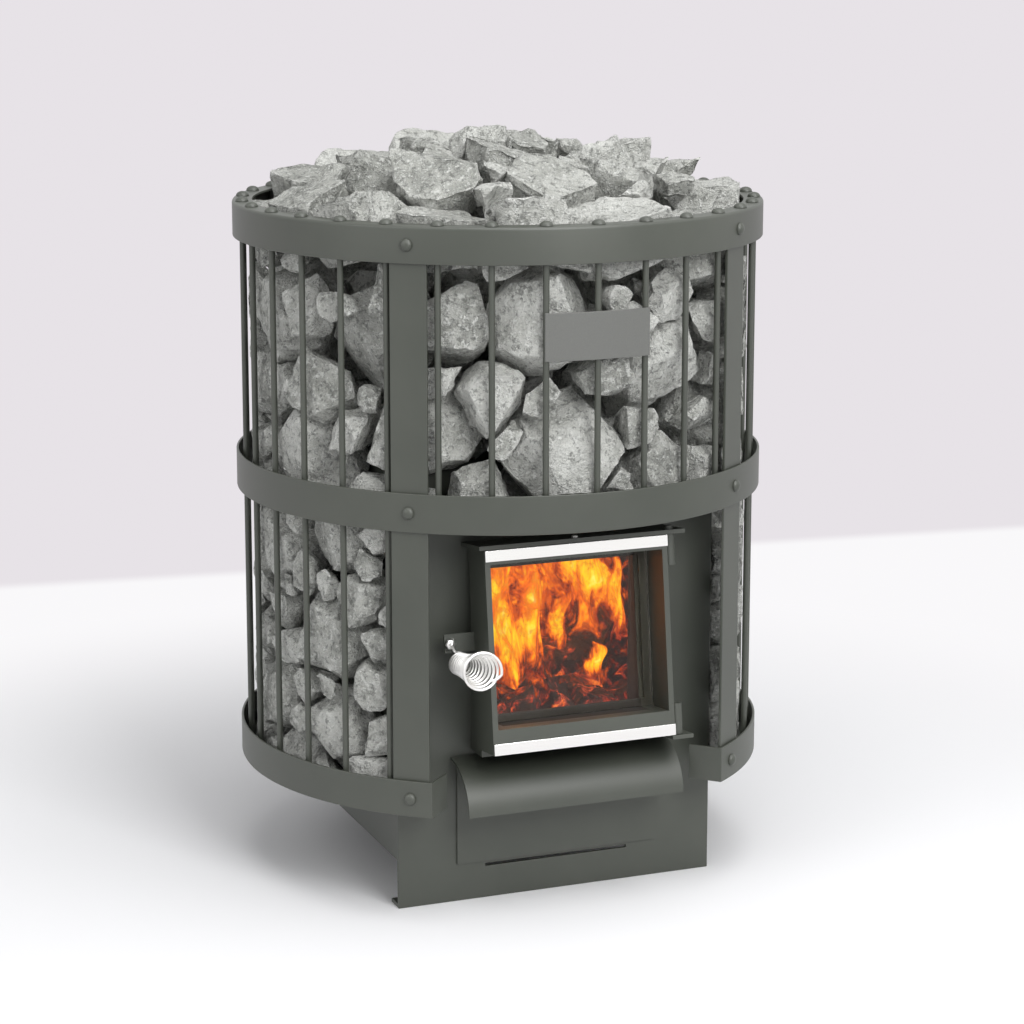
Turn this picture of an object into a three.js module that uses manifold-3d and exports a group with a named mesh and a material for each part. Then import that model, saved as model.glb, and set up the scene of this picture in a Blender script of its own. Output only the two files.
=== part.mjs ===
// Wood-burning sauna stove. A welded firebox with a leaning glass door and an ash drawer stands inside
// a round basket of rods, rings and posts, and the basket is filled with heating stones.
// Millimetres, +Z up. The origin is on the floor under the basket's axis and the door faces -Y.
import * as THREE from 'three';
import { ConvexGeometry } from 'three/addons/geometries/ConvexGeometry.js';
import { mergeVertices } from 'three/addons/utils/BufferGeometryUtils.js';
import Module from 'manifold-3d';

// Fits between neighbouring pieces
const fitGap = 0.3;
const sealGap = 0.6;
const cutMargin = 1;

// Basket rings
const ringOuterRadius = 263.5;
const ringWall = 2.5;
const ringFlange = 20;
const ringFillet = 3;
const topRingTop = 670;
const topRingHeight = 35;
const middleRingTop = 421;
const middleRingHeight = 37;
const bottomRingTop = 143;
const bottomRingHeight = 35;
const ringTabLength = 34;
const ringTabTurn = 10.5;
const ringTabClearance = 0.6;

// Basket rods and posts
const rodCount = 32;
const rodDiameter = 6;
const rodInset = 9;
const rodHeadDiameter = 13;
const rodHeadHeight = 4.5;
const rodSides = 8;
const frontShortRods = 7;
const rearShortRods = 3;
const postWidth = 36.5;
const postThickness = 3;
const postPitches = [-3.53, 3.53, -12.47, 12.47];
const rivetDiameter = 6;
const rivetHeadDiameter = 12;
const rivetHeadHeight = 4;

// Bare plate on the front rods
const plateWidth = 106;
const plateHeight = 45;
const plateThickness = 2;
const plateCentreHeight = 568;
const plateSteps = 4;

// Firebox
const bodyWidth = 330;
const bodyDepth = 316;
const bodyTop = 432;
const bodyBottom = 47;
const sheet = 4;
const shellInset = 1;
const floorSheet = 3;
const footFlange = 22;
const rearFootWidth = 190;
const shelfHeight = 386;
const shelfSheet = 3;
const shelfMargin = 1.5;
const frontShelfAngle = 34.3;
const rearShelfAngle = 16;
const hearthHeight = 146;
const hearthThickness = 12;
const grateSlots = 9;
const grateSlotWidth = 9;
const grateSlotLength = 170;
const grateSlotPitch = 20;
const mouthWidth = 152;
const mouthBottom = 175;
const mouthTop = 340;
const airSlotWidth = 150;
const airSlotHeight = 3;
const airSlotBottom = 32;

// Flue outlet at the back
const flueBore = 110;
const flueWall = 3;
const flueFlangeWidth = 14;
const flueReach = 250;
const flueHeight = 265;

// Door and its hinges
const doorLean = THREE.MathUtils.degToRad(7.4);
const doorSillHeight = 162;
const doorSetOut = 29.4;
const doorWidth = 188;
const doorHeight = 195;
const doorDepth = 44;
const doorSideBorder = 5.5;
const doorTopBorder = 14;
const doorBottomBorder = 24;
const glassThickness = 4.7;
const glassLip = 8;
const glassLipThickness = 3;
const trimHeight = 11;
const trimThickness = 2;
const collarWall = 14;
const collarTop = 350;
const collarBottom = 153;
const hingePlate = 4;
const hingeClearance = 0.4;
const hingePinDiameter = 6;
const hingeBoreClearance = 0.3;
const knuckleDiameter = 11;
const knuckleLength = 30;
const knuckleSetBack = 6;
const knuckleBite = 1;
const hingeSides = 16;
const pinHeadDiameter = 9;
const pinHeadHeight = 4;
const ledgeOverhang = 14;

// Coil-wire door handle
const wireDiameter = 2.8;
const coilTurns = 10;
const coilRearRadius = 10;
const coilFrontRadius = 18.5;
const coilLength = 68;
const coilHeight = 86;
const coilStandOff = 18.5;
const coilTail = 13.5;
const coilBend = 4;
const coilTuck = 7;
const wireSides = 6;
const wireStepsPerTurn = 13;
const lugThickness = 3;
const lugBite = 1;
const boltDiameter = 4;
const boltHeadDiameter = 9;
const boltHeadHeight = 3;
const boltSides = 12;

// Ash drawer
const drawerFrontWidth = 210;
const drawerFrontBottom = 38;
const drawerFrontTop = 148;
const drawerSheet = 2;
const hoodWidth = 224;
const hoodReach = 52;
const hoodDrop = 46;
const ashBoxWidth = 196;
const ashBoxDepth = 272;
const ashBoxHeight = 50;
const ashOpeningMargin = 4;

// Heating stones
const stoneReach = 50;
const stoneStep = 86;
const stoneCorners = 10;
const stoneWidths = [0.85, 1.2];
const stoneHeights = [0.75, 1];
const stoneRaggedness = [0.9, 1.1];
const stoneTilt = 0.5;
const stoneTwist = 0.7;
const stoneDrift = 0.1 * stoneStep;
const heapRings = [0.78, 0.48, 0.16];
const stoneBacking = 20;
const stoneGap = 0.5;
const stonePileTop = 738;
const stoneSeed = 20260;

// Sizes that follow from the ones above
const ringInnerRadius = ringOuterRadius - ringWall;
const flangeInnerRadius = ringOuterRadius - ringFlange;
const rodCircle = ringOuterRadius - rodInset;
const rodPitch = 360 / rodCount;
const ringSegments = 2 * rodCount;
const bottomRingBottom = bottomRingTop - bottomRingHeight;
const mouthPost = Math.min(...postPitches.map(Math.abs)) * rodPitch;
const tabAside = Math.asin((postWidth / 2 + ringTabClearance) / ringInnerRadius);
const ringMouthAngle = mouthPost - THREE.MathUtils.radToDeg(tabAside + ringWall / ringInnerRadius);
const postFace = Math.sqrt((ringInnerRadius - fitGap) ** 2 - (postWidth / 2) ** 2);
const shelfRadius = rodCircle + rodDiameter / 2 + shelfMargin;
const stoneRadius = rodCircle - rodDiameter / 2 - stoneGap;
const basketFloorBottom = bottomRingBottom + ringWall + fitGap;
const basketFloorTop = basketFloorBottom + floorSheet;
const bodyFront = -bodyDepth / 2;
const bodyRear = bodyDepth / 2;
const hingeX = doorWidth / 2 + knuckleDiameter / 2 - knuckleBite;
const hingeY = -doorDepth + knuckleSetBack;

const wasm = await Module();
wasm.setup();

function solidOf(geometry) {
  const bare = geometry.clone();
  bare.deleteAttribute('normal');
  bare.deleteAttribute('uv');
  const merged = mergeVertices(bare);
  const vertProperties = new Float32Array(merged.attributes.position.array);
  const triVerts = new Uint32Array(merged.index.array);
  return new wasm.Manifold(new wasm.Mesh({ numProp: 3, vertProperties, triVerts }));
}

function geometryOf(solid) {
  const mesh = solid.getMesh();
  const geometry = new THREE.BufferGeometry();
  geometry.setAttribute('position', new THREE.BufferAttribute(mesh.vertProperties, 3));
  geometry.setIndex(new THREE.BufferAttribute(mesh.triVerts, 1));
  return geometry;
}

function join(geometries) {
  return geometries.map(solidOf).reduce((whole, solid) => whole.add(solid));
}

function cut(geometries, tools) {
  return geometryOf(tools.map(solidOf).reduce((whole, tool) => whole.subtract(tool), join(geometries)));
}

function fuse(geometries) {
  return geometryOf(join(geometries));
}

// A block between two corners
function block([lowX, lowY, lowZ], [highX, highY, highZ]) {
  const geometry = new THREE.BoxGeometry(highX - lowX, highY - lowY, highZ - lowZ);
  return geometry.translate((lowX + highX) / 2, (lowY + highY) / 2, (lowZ + highZ) / 2);
}

// A plan outline raised from one height to another
function raised(outline, bottom, top, curveSegments = 16) {
  const depth = top - bottom;
  const geometry = new THREE.ExtrudeGeometry(outline, { depth, bevelEnabled: false, curveSegments });
  return geometry.translate(0, 0, bottom);
}

// A front outline, drawn in X and Z, given a thickness from front to back
function upright(outline, front, back, curveSegments = 16) {
  const depth = back - front;
  const geometry = new THREE.ExtrudeGeometry(outline, { depth, bevelEnabled: false, curveSegments });
  return geometry.rotateX(Math.PI / 2).translate(0, back, 0);
}

// A side outline, drawn in Y and Z, given a width about the middle
function acrossWidth(outline, width, curveSegments = 10) {
  const geometry = new THREE.ExtrudeGeometry(outline, { depth: width, bevelEnabled: false, curveSegments });
  return geometry.rotateX(Math.PI / 2).rotateZ(Math.PI / 2).translate(-width / 2, 0, 0);
}

// A turned shape about Z from radius and height pairs
function turned(profile, segments) {
  const points = profile.map(([radius, height]) => new THREE.Vector2(radius, height));
  return new THREE.LatheGeometry(points, segments).rotateX(Math.PI / 2);
}

function rectangle(lowX, lowY, highX, highY) {
  return new THREE.Shape([
    new THREE.Vector2(lowX, lowY),
    new THREE.Vector2(highX, lowY),
    new THREE.Vector2(highX, highY),
    new THREE.Vector2(lowX, highY),
  ]);
}

function radians(degrees) {
  return THREE.MathUtils.degToRad(degrees);
}

// Plan angle, counted from the front, as an angle from +X
function fromFront(degrees) {
  return radians(degrees - 90);
}

function planPoint(radius, degrees) {
  return new THREE.Vector2(radius * Math.cos(fromFront(degrees)), radius * Math.sin(fromFront(degrees)));
}

// A dome on top of a round shank, as profile points from the rim to the middle
function domeProfile(rimRadius, base, height, steps = 2) {
  const points = [];
  for (let step = 0; step <= steps; step += 1) {
    const angle = (step / steps) * (Math.PI / 2);
    points.push([rimRadius * Math.cos(angle), base + height * Math.sin(angle)]);
  }
  points[steps][0] = 0;
  return points;
}

function paint(color, roughness, metalness) {
  return new THREE.MeshStandardMaterial({ color, roughness, metalness });
}

const finishes = {
  heatPaint: paint(0x4b4d49, 0.6, 0.3),
  plateMetal: paint(0x474946, 0.5, 0.4),
  castIron: paint(0x3a3a3a, 0.8, 0.4),
  polishedTrim: paint(0xe6e4dc, 0.15, 1),
  brightWire: paint(0xd8d8d4, 0.2, 1),
  fireGlass: paint(0x6b3a1c, 0.05, 0),
  rock: paint(0x8d9089, 0.95, 0),
};
finishes.fireGlass.transparent = true;
finishes.fireGlass.opacity = 0.4;

const stove = new THREE.Group();

function place(parent, name, geometry, material) {
  const mesh = new THREE.Mesh(geometry, material);
  mesh.name = name;
  parent.add(mesh);
  return mesh;
}

// Holes for the post rivets, drilled through a ring at one height
function rivetHoles(height) {
  return postPitches.map((pitches) => {
    const radius = rivetDiameter / 2 + fitGap;
    const drill = new THREE.CylinderGeometry(radius, radius, ringFlange, rodSides);
    return drill.translate(0, -ringOuterRadius, height).rotateZ(radians(pitches * rodPitch));
  });
}

function topRing() {
  const bottom = topRingTop - topRingHeight;
  const fillet = Math.min(ringFillet, ringFlange / 2);
  const shoulder = domeProfile(fillet, topRingTop - fillet, fillet)
    .map(([radius, height]) => [ringOuterRadius - fillet + radius, height]);
  const profile = [
    [ringOuterRadius, bottom],
    ...shoulder,
    [flangeInnerRadius, topRingTop],
    [flangeInnerRadius, topRingTop - ringWall],
    [ringInnerRadius, topRingTop - ringWall],
    [ringInnerRadius, bottom],
    [ringOuterRadius, bottom],
  ];
  const holeRadius = rodDiameter / 2 + fitGap;
  const rodHoles = Array.from({ length: rodCount }, (_, index) => {
    const drill = new THREE.CylinderGeometry(holeRadius, holeRadius, ringFlange, rodSides);
    return drill.rotateX(Math.PI / 2).translate(0, -rodCircle, topRingTop).rotateZ(radians(index * rodPitch));
  });
  return cut([turned(profile, ringSegments)], [...rodHoles, ...rivetHoles(bottom + topRingHeight / 2)]);
}

function middleRing() {
  const bottom = middleRingTop - middleRingHeight;
  const profile = [
    [ringOuterRadius, bottom],
    [ringOuterRadius, middleRingTop],
    [ringInnerRadius, middleRingTop],
    [ringInnerRadius, bottom],
    [ringOuterRadius, bottom],
  ];
  return cut([turned(profile, ringSegments)], rivetHoles(bottom + middleRingHeight / 2));
}

// The bottom ring is open in front of the door, and its ends are bent in towards the firebox
function bottomRing() {
  const tabAngle = radians(ringMouthAngle + ringTabTurn);
  const innerAngle = ringMouthAngle + THREE.MathUtils.radToDeg(ringWall / ringInnerRadius);
  const tipPoints = (side) => {
    const corner = planPoint(ringOuterRadius, side * ringMouthAngle);
    const along = new THREE.Vector2(-side * Math.sin(tabAngle), Math.cos(tabAngle));
    const back = new THREE.Vector2(side * Math.cos(tabAngle), Math.sin(tabAngle));
    const outer = corner.clone().addScaledVector(along, ringTabLength);
    return { corner, outer, inner: outer.clone().addScaledVector(back, ringWall) };
  };
  const right = tipPoints(1);
  const left = tipPoints(-1);
  const band = new THREE.Shape();
  band.moveTo(right.outer.x, right.outer.y);
  band.lineTo(right.corner.x, right.corner.y);
  band.absarc(0, 0, ringOuterRadius, fromFront(ringMouthAngle), fromFront(360 - ringMouthAngle), false);
  band.lineTo(left.outer.x, left.outer.y);
  band.lineTo(left.inner.x, left.inner.y);
  band.absarc(0, 0, ringInnerRadius, fromFront(360 - innerAngle), fromFront(innerAngle), true);
  band.lineTo(right.inner.x, right.inner.y);
  const flange = new THREE.Shape();
  const flangeOuterRadius = ringInnerRadius + ringWall / 2;
  flange.absarc(0, 0, flangeOuterRadius, fromFront(innerAngle), fromFront(360 - innerAngle), false);
  flange.absarc(0, 0, flangeInnerRadius, fromFront(360 - innerAngle), fromFront(innerAngle), true);
  const pieces = [
    raised(band, bottomRingBottom, bottomRingTop, ringSegments / 2),
    raised(flange, bottomRingBottom, bottomRingBottom + ringWall, ringSegments / 2),
  ];
  return cut(pieces, rivetHoles(bottomRingTop - bottomRingHeight / 2));
}

// A rod stands on a flange or a shelf and is headed over above the top ring
function rod(bottom) {
  const radius = rodDiameter / 2;
  const headBase = topRingTop + fitGap;
  const profile = [
    [0, bottom],
    [radius, bottom],
    [radius, headBase],
    ...domeProfile(rodHeadDiameter / 2, headBase, rodHeadHeight),
  ];
  return turned(profile, rodSides);
}

// A flat bar behind the three rings, with the rivets that hold the rings to it
function post() {
  const bottom = bottomRingBottom + ringWall + fitGap;
  const top = topRingTop - ringWall - fitGap;
  const bar = block([-postWidth / 2, -postFace, bottom], [postWidth / 2, -postFace + postThickness, top]);
  const headBase = ringOuterRadius + fitGap;
  const rivetProfile = [
    [0, postFace - postThickness / 2],
    [rivetDiameter / 2, postFace - postThickness / 2],
    [rivetDiameter / 2, headBase],
    ...domeProfile(rivetHeadDiameter / 2, headBase, rivetHeadHeight),
  ];
  const heights = [
    topRingTop - topRingHeight / 2,
    middleRingTop - middleRingHeight / 2,
    bottomRingTop - bottomRingHeight / 2,
  ];
  const rivets = heights.map((height) => {
    const rivet = turned(rivetProfile, rodSides);
    return rivet.rotateX(Math.PI / 2).translate(0, 0, height);
  });
  return fuse([bar, ...rivets]);
}

place(stove, 'top_ring', topRing(), finishes.heatPaint);
place(stove, 'middle_ring', middleRing(), finishes.heatPaint);
place(stove, 'bottom_ring', bottomRing(), finishes.heatPaint);

const postNames = ['post_front_left', 'post_front_right', 'post_rear_left', 'post_rear_right'];
postPitches.forEach((pitches, index) => {
  place(stove, postNames[index], post(), finishes.heatPaint).rotation.z = radians(pitches * rodPitch);
});

for (let index = 0; index < rodCount; index += 1) {
  const fromFrontRod = Math.min(index, rodCount - index);
  const fromRearRod = rodCount / 2 - fromFrontRod;
  const isShort = 2 * fromFrontRod < frontShortRods || 2 * fromRearRod < rearShortRods;
  const seat = isShort ? shelfHeight + shelfSheet : bottomRingBottom + ringWall;
  const name = `rod_${String(index + 1).padStart(2, '0')}`;
  const mesh = place(stove, name, rod(seat + fitGap), finishes.heatPaint);
  const angle = fromFront(index * rodPitch);
  mesh.position.set(rodCircle * Math.cos(angle), rodCircle * Math.sin(angle), 0);
}

function barePlate() {
  const inner = rodCircle + rodDiameter / 2 + fitGap;
  const outer = inner + plateThickness;
  const halfAngle = THREE.MathUtils.radToDeg(plateWidth / 2 / outer);
  const outline = new THREE.Shape();
  outline.absarc(0, 0, outer, fromFront(-halfAngle), fromFront(halfAngle), false);
  outline.absarc(0, 0, inner, fromFront(halfAngle), fromFront(-halfAngle), true);
  const bottom = plateCentreHeight - plateHeight / 2;
  return raised(outline, bottom, bottom + plateHeight, plateSteps);
}

place(stove, 'nameplate', barePlate(), finishes.plateMetal);

// A shelf that carries the short rods and keeps the stones out of the space under it
function stoneShelf(halfAngle, turn, wallFace) {
  const halfWidth = shelfRadius * Math.sin(radians(halfAngle));
  const outline = new THREE.Shape();
  outline.absarc(0, 0, shelfRadius, fromFront(-halfAngle), fromFront(halfAngle), false);
  outline.lineTo(halfWidth, wallFace);
  outline.lineTo(-halfWidth, wallFace);
  return raised(outline, shelfHeight, shelfHeight + shelfSheet).rotateZ(turn);
}

const drawerOpening = {
  halfWidth: ashBoxWidth / 2 + ashOpeningMargin,
  bottom: bodyBottom + floorSheet - ashOpeningMargin,
  top: bodyBottom + floorSheet + ashBoxHeight + 2 * ashOpeningMargin,
};

function frontPlate() {
  const outline = rectangle(-bodyWidth / 2, 0, bodyWidth / 2, bodyTop);
  outline.holes.push(
    rectangle(-mouthWidth / 2, mouthBottom, mouthWidth / 2, mouthTop),
    rectangle(-drawerOpening.halfWidth, drawerOpening.bottom, drawerOpening.halfWidth, drawerOpening.top),
    rectangle(-airSlotWidth / 2, airSlotBottom, airSlotWidth / 2, airSlotBottom + airSlotHeight),
  );
  const foot = block([-bodyWidth / 2, bodyFront, 0], [bodyWidth / 2, bodyFront + footFlange, sheet]);
  const shelf = stoneShelf(frontShelfAngle, 0, bodyFront + sheet / 2);
  return fuse([upright(outline, bodyFront, bodyFront + sheet), foot, shelf]);
}

// The rear plate narrows under the firebox to a foot
function rearPlate() {
  const outline = new THREE.Shape();
  outline.moveTo(-rearFootWidth / 2, 0);
  outline.lineTo(rearFootWidth / 2, 0);
  outline.lineTo(rearFootWidth / 2, bodyBottom);
  outline.lineTo(bodyWidth / 2, bodyBottom);
  outline.lineTo(bodyWidth / 2, bodyTop);
  outline.lineTo(-bodyWidth / 2, bodyTop);
  outline.lineTo(-bodyWidth / 2, bodyBottom);
  outline.lineTo(-rearFootWidth / 2, bodyBottom);
  const flueHole = new THREE.Path();
  flueHole.absarc(0, flueHeight, flueBore / 2, 0, 2 * Math.PI, true);
  outline.holes.push(flueHole);
  const foot = block([-rearFootWidth / 2, bodyRear - footFlange, 0], [rearFootWidth / 2, bodyRear, sheet]);
  const shelf = stoneShelf(rearShelfAngle, Math.PI, bodyFront + sheet / 2);
  return fuse([upright(outline, bodyRear - sheet, bodyRear), foot, shelf]);
}

// The two sides and the roof are one sheet folded to an upturned U
function fireboxShell() {
  const outer = bodyWidth / 2 - shellInset;
  const inner = outer - sheet;
  const outline = new THREE.Shape();
  outline.moveTo(-outer, bodyBottom);
  outline.lineTo(-inner, bodyBottom);
  outline.lineTo(-inner, bodyTop - sheet);
  outline.lineTo(inner, bodyTop - sheet);
  outline.lineTo(inner, bodyBottom);
  outline.lineTo(outer, bodyBottom);
  outline.lineTo(outer, bodyTop);
  outline.lineTo(-outer, bodyTop);
  return upright(outline, bodyFront + sheet + fitGap, bodyRear - sheet - fitGap);
}

const insideHalfWidth = bodyWidth / 2 - shellInset - sheet - fitGap;
const insideHalfDepth = bodyDepth / 2 - sheet - fitGap;

function insidePlan() {
  return rectangle(-insideHalfWidth, -insideHalfDepth, insideHalfWidth, insideHalfDepth);
}

// The cast hearth lies wall to wall and has the grate's slots in its middle
function hearth() {
  const top = hearthHeight + hearthThickness;
  const slots = Array.from({ length: grateSlots }, (_, index) => {
    const middle = (index - (grateSlots - 1) / 2) * grateSlotPitch;
    return block(
      [middle - grateSlotWidth / 2, -grateSlotLength / 2, hearthHeight - cutMargin],
      [middle + grateSlotWidth / 2, grateSlotLength / 2, top + cutMargin],
    );
  });
  return cut([raised(insidePlan(), hearthHeight, top)], slots);
}

// The basket's floor rests on the bottom ring's flange and goes round three sides of the firebox
function basketFloor() {
  const halfWidth = bodyWidth / 2 + fitGap;
  const rear = bodyRear + fitGap;
  const reach = THREE.MathUtils.radToDeg(Math.asin(halfWidth / stoneRadius));
  const outline = new THREE.Shape();
  outline.absarc(0, 0, stoneRadius, fromFront(reach), fromFront(360 - reach), false);
  outline.lineTo(-halfWidth, rear);
  outline.lineTo(halfWidth, rear);
  return raised(outline, basketFloorBottom, basketFloorTop, rodCount / 2);
}

function flueCollar() {
  const bore = flueBore / 2;
  const pipe = bore + flueWall;
  const seat = bodyRear + fitGap;
  const profile = [
    [bore, seat],
    [pipe + flueFlangeWidth, seat],
    [pipe + flueFlangeWidth, seat + flueWall],
    [pipe, seat + flueWall],
    [pipe, flueReach],
    [bore, flueReach],
    [bore, seat],
  ];
  return turned(profile, rodCount).rotateX(-Math.PI / 2).translate(0, 0, flueHeight);
}

place(stove, 'front_plate', frontPlate(), finishes.heatPaint);
place(stove, 'rear_plate', rearPlate(), finishes.heatPaint);
place(stove, 'firebox_shell', fireboxShell(), finishes.heatPaint);
place(stove, 'base_plate', raised(insidePlan(), bodyBottom, bodyBottom + floorSheet), finishes.heatPaint);
place(stove, 'hearth', hearth(), finishes.castIron);
place(stove, 'basket_floor', basketFloor(), finishes.heatPaint);
place(stove, 'flue_collar', flueCollar(), finishes.heatPaint);

// The door's own frame: its origin is the middle of the door's lower back edge, Z runs up the leaning
// door and -Y points out of its face
const doorGroup = new THREE.Group();
doorGroup.position.set(0, bodyFront - doorSetOut, doorSillHeight);
doorGroup.rotation.x = -doorLean;
doorGroup.updateMatrix();
stove.add(doorGroup);

function leaning(geometry) {
  return geometry.applyMatrix4(doorGroup.matrix);
}

// Everything behind the front plate's face, which fixed pieces on it are trimmed to
function behindPlate() {
  const reach = bodyWidth;
  return block([-reach, bodyFront - fitGap, 0], [reach, bodyFront + reach, bodyTop]);
}

// A wedge-shaped frame on the front plate carries the leaning door's rim
function doorCollar() {
  const halfWidth = mouthWidth / 2 + collarWall;
  const front = bodyFront - 2 * doorSetOut;
  const frame = block([-halfWidth, front, collarBottom], [halfWidth, bodyFront - fitGap, collarTop]);
  const mouth = block(
    [-mouthWidth / 2, front - cutMargin, mouthBottom],
    [mouthWidth / 2, bodyFront + cutMargin, mouthTop],
  );
  const doorSpace = block([-doorWidth, -doorWidth, -doorHeight], [doorWidth, sealGap, 2 * doorHeight]);
  return cut([frame], [mouth, leaning(doorSpace)]);
}

function hingePin(bottom, top) {
  const radius = hingePinDiameter / 2;
  const pin = new THREE.CylinderGeometry(radius, radius, top - bottom, hingeSides);
  return pin.rotateX(Math.PI / 2).translate(hingeX, hingeY, (bottom + top) / 2);
}

function pinHead(bottom) {
  const radius = pinHeadDiameter / 2;
  const head = new THREE.CylinderGeometry(radius, radius, pinHeadHeight, hingeSides);
  return head.rotateX(Math.PI / 2).translate(hingeX, hingeY, bottom + pinHeadHeight / 2);
}

// The ledge over the door carries the upper hinge pin
function hingeLedge() {
  const bottom = doorHeight + hingeClearance;
  const top = bottom + hingePlate;
  const left = -doorWidth / 2 - knuckleDiameter / 2;
  const front = -doorDepth - trimThickness;
  const ledge = block([left, front, bottom], [hingeX + ledgeOverhang, 2 * doorSetOut, top]);
  const pin = hingePin(doorHeight - knuckleLength, top);
  return cut([ledge, pin, pinHead(top - fitGap)].map(leaning), [behindPlate()]);
}

// A bracket beside the mouth carries the lower hinge pin
function hingeBracket() {
  const top = -hingeClearance;
  const left = mouthWidth / 2 + collarWall + fitGap;
  const front = hingeY - pinHeadDiameter / 2 - hingePlate;
  const bracket = block([left, front, top - hingePlate], [hingeX + ledgeOverhang, 2 * doorSetOut, top]);
  const pin = hingePin(top - hingePlate, knuckleLength);
  return cut([bracket, pin].map(leaning), [behindPlate()]);
}

place(stove, 'door_collar', doorCollar(), finishes.heatPaint);
place(stove, 'hinge_ledge', hingeLedge(), finishes.heatPaint);
place(stove, 'hinge_bracket', hingeBracket(), finishes.heatPaint);

const coilX = -doorWidth / 2 - coilStandOff;
const tailX = coilX - coilBend;
const lugFront = -lugThickness - glassLipThickness;
const coilRear = lugFront - wireDiameter / 2 - fitGap;
const boltHeight = coilHeight + coilRearRadius + coilTail - boltHeadDiameter / 2;
const boltX = tailX - wireDiameter / 2 - boltDiameter / 2 - fitGap;

// The deep door frame: the glass lies against a lip at its back, the hinge knuckles are on its right
// side, and a lug on its left side takes the handle's bolt
function doorFrame() {
  const half = doorWidth / 2;
  const openHalf = half - doorSideBorder;
  const openTop = doorHeight - doorTopBorder;
  const frame = block([-half, -doorDepth, 0], [half, 0, doorHeight]);
  const knuckle = (bottom) => {
    const radius = knuckleDiameter / 2;
    const barrel = new THREE.CylinderGeometry(radius, radius, knuckleLength, hingeSides);
    return barrel.rotateX(Math.PI / 2).translate(hingeX, hingeY, bottom + knuckleLength / 2);
  };
  const lugLeft = boltX - boltHeadDiameter / 2;
  const lug = block(
    [lugLeft, lugFront, boltHeight - boltHeadDiameter],
    [-half + lugBite, lugFront + lugThickness, boltHeight + boltHeadDiameter],
  );
  const boltReach = wireDiameter + 2 * fitGap;
  const bolt = turned([
    [0, -lugThickness / 2],
    [boltDiameter / 2, -lugThickness / 2],
    [boltDiameter / 2, boltReach],
    [boltHeadDiameter / 2, boltReach],
    [boltHeadDiameter / 2, boltReach + boltHeadHeight],
    [0, boltReach + boltHeadHeight],
  ], boltSides);
  bolt.rotateX(Math.PI / 2).translate(boltX, lugFront, boltHeight);
  const window = block(
    [-openHalf, -2 * doorDepth, doorBottomBorder],
    [openHalf, -glassLipThickness, openTop],
  );
  const lipOpening = block(
    [-openHalf + glassLip, -doorDepth, doorBottomBorder + glassLip],
    [openHalf - glassLip, doorDepth, openTop - glassLip],
  );
  const boreRadius = hingePinDiameter / 2 + hingeBoreClearance;
  const bore = new THREE.CylinderGeometry(boreRadius, boreRadius, 3 * doorHeight, hingeSides);
  bore.rotateX(Math.PI / 2).translate(hingeX, hingeY, 0);
  const pieces = [frame, knuckle(0), knuckle(doorHeight - knuckleLength), lug, bolt];
  return cut(pieces, [window, lipOpening, bore]);
}

function doorGlass() {
  const halfWidth = doorWidth / 2 - doorSideBorder - fitGap;
  const back = -glassLipThickness - fitGap;
  const bottom = doorBottomBorder + fitGap;
  const top = doorHeight - doorTopBorder - fitGap;
  return block([-halfWidth, back - glassThickness, bottom], [halfWidth, back, top]);
}

function trim(bottom) {
  const front = -doorDepth - fitGap - trimThickness;
  return block([-doorWidth / 2, front, bottom], [doorWidth / 2, -doorDepth - fitGap, bottom + trimHeight]);
}

// The handle's wire comes down from its bolt, bends into the narrow rear turn, winds forward and out in
// a trumpet-shaped coil and ends with its tip turned inwards
function handleWirePoints(stepsPerTurn) {
  const points = [];
  const bendZ = coilHeight + coilRearRadius + coilBend;
  const tailTop = bendZ - coilBend + coilTail;
  points.push(new THREE.Vector3(tailX, coilRear, tailTop));
  points.push(new THREE.Vector3(tailX, coilRear, tailTop - wireDiameter));
  for (let step = 0; step < 4; step += 1) {
    const angle = Math.PI + (step / 4) * (Math.PI / 2);
    const x = coilX + coilBend * Math.cos(angle);
    points.push(new THREE.Vector3(x, coilRear, bendZ + coilBend * Math.sin(angle)));
  }
  const turnSteps = coilTurns * stepsPerTurn;
  const tuckSteps = Math.round(stepsPerTurn / 8);
  for (let step = 0; step <= turnSteps + tuckSteps; step += 1) {
    const share = Math.min(step / turnSteps, 1);
    const tucked = Math.max(step - turnSteps, 0) / tuckSteps;
    const radius = coilRearRadius + (coilFrontRadius - coilRearRadius) * share ** 2 - coilTuck * tucked;
    const angle = Math.PI / 2 - (2 * Math.PI * step) / stepsPerTurn;
    const x = coilX + radius * Math.cos(angle);
    points.push(new THREE.Vector3(x, coilRear - coilLength * share, coilHeight + radius * Math.sin(angle)));
  }
  return points;
}

// Least distance between wire surfaces that are at least half a turn apart along the wire
function leastTurnGap(points, stepsPerTurn) {
  let least = Infinity;
  for (let first = 0; first < points.length; first += 1) {
    for (let second = first + stepsPerTurn / 2; second < points.length; second += 1) {
      least = Math.min(least, points[first].distanceTo(points[second]));
    }
  }
  return least - wireDiameter;
}

function doorHandle() {
  const stepsPerTurn = 24;
  const points = handleWirePoints(stepsPerTurn);
  console.log(`door_handle: least gap between turns ${leastTurnGap(points, stepsPerTurn).toFixed(2)} mm`);
  const section = new THREE.Shape(Array.from({ length: wireSides }, (_, side) => {
    const angle = (2 * Math.PI * side) / wireSides;
    return new THREE.Vector2(Math.cos(angle), Math.sin(angle)).multiplyScalar(wireDiameter / 2);
  }));
  const extrudePath = new THREE.CatmullRomCurve3(points);
  const steps = wireStepsPerTurn * coilTurns;
  return new THREE.ExtrudeGeometry(section, { steps, extrudePath, bevelEnabled: false });
}

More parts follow.
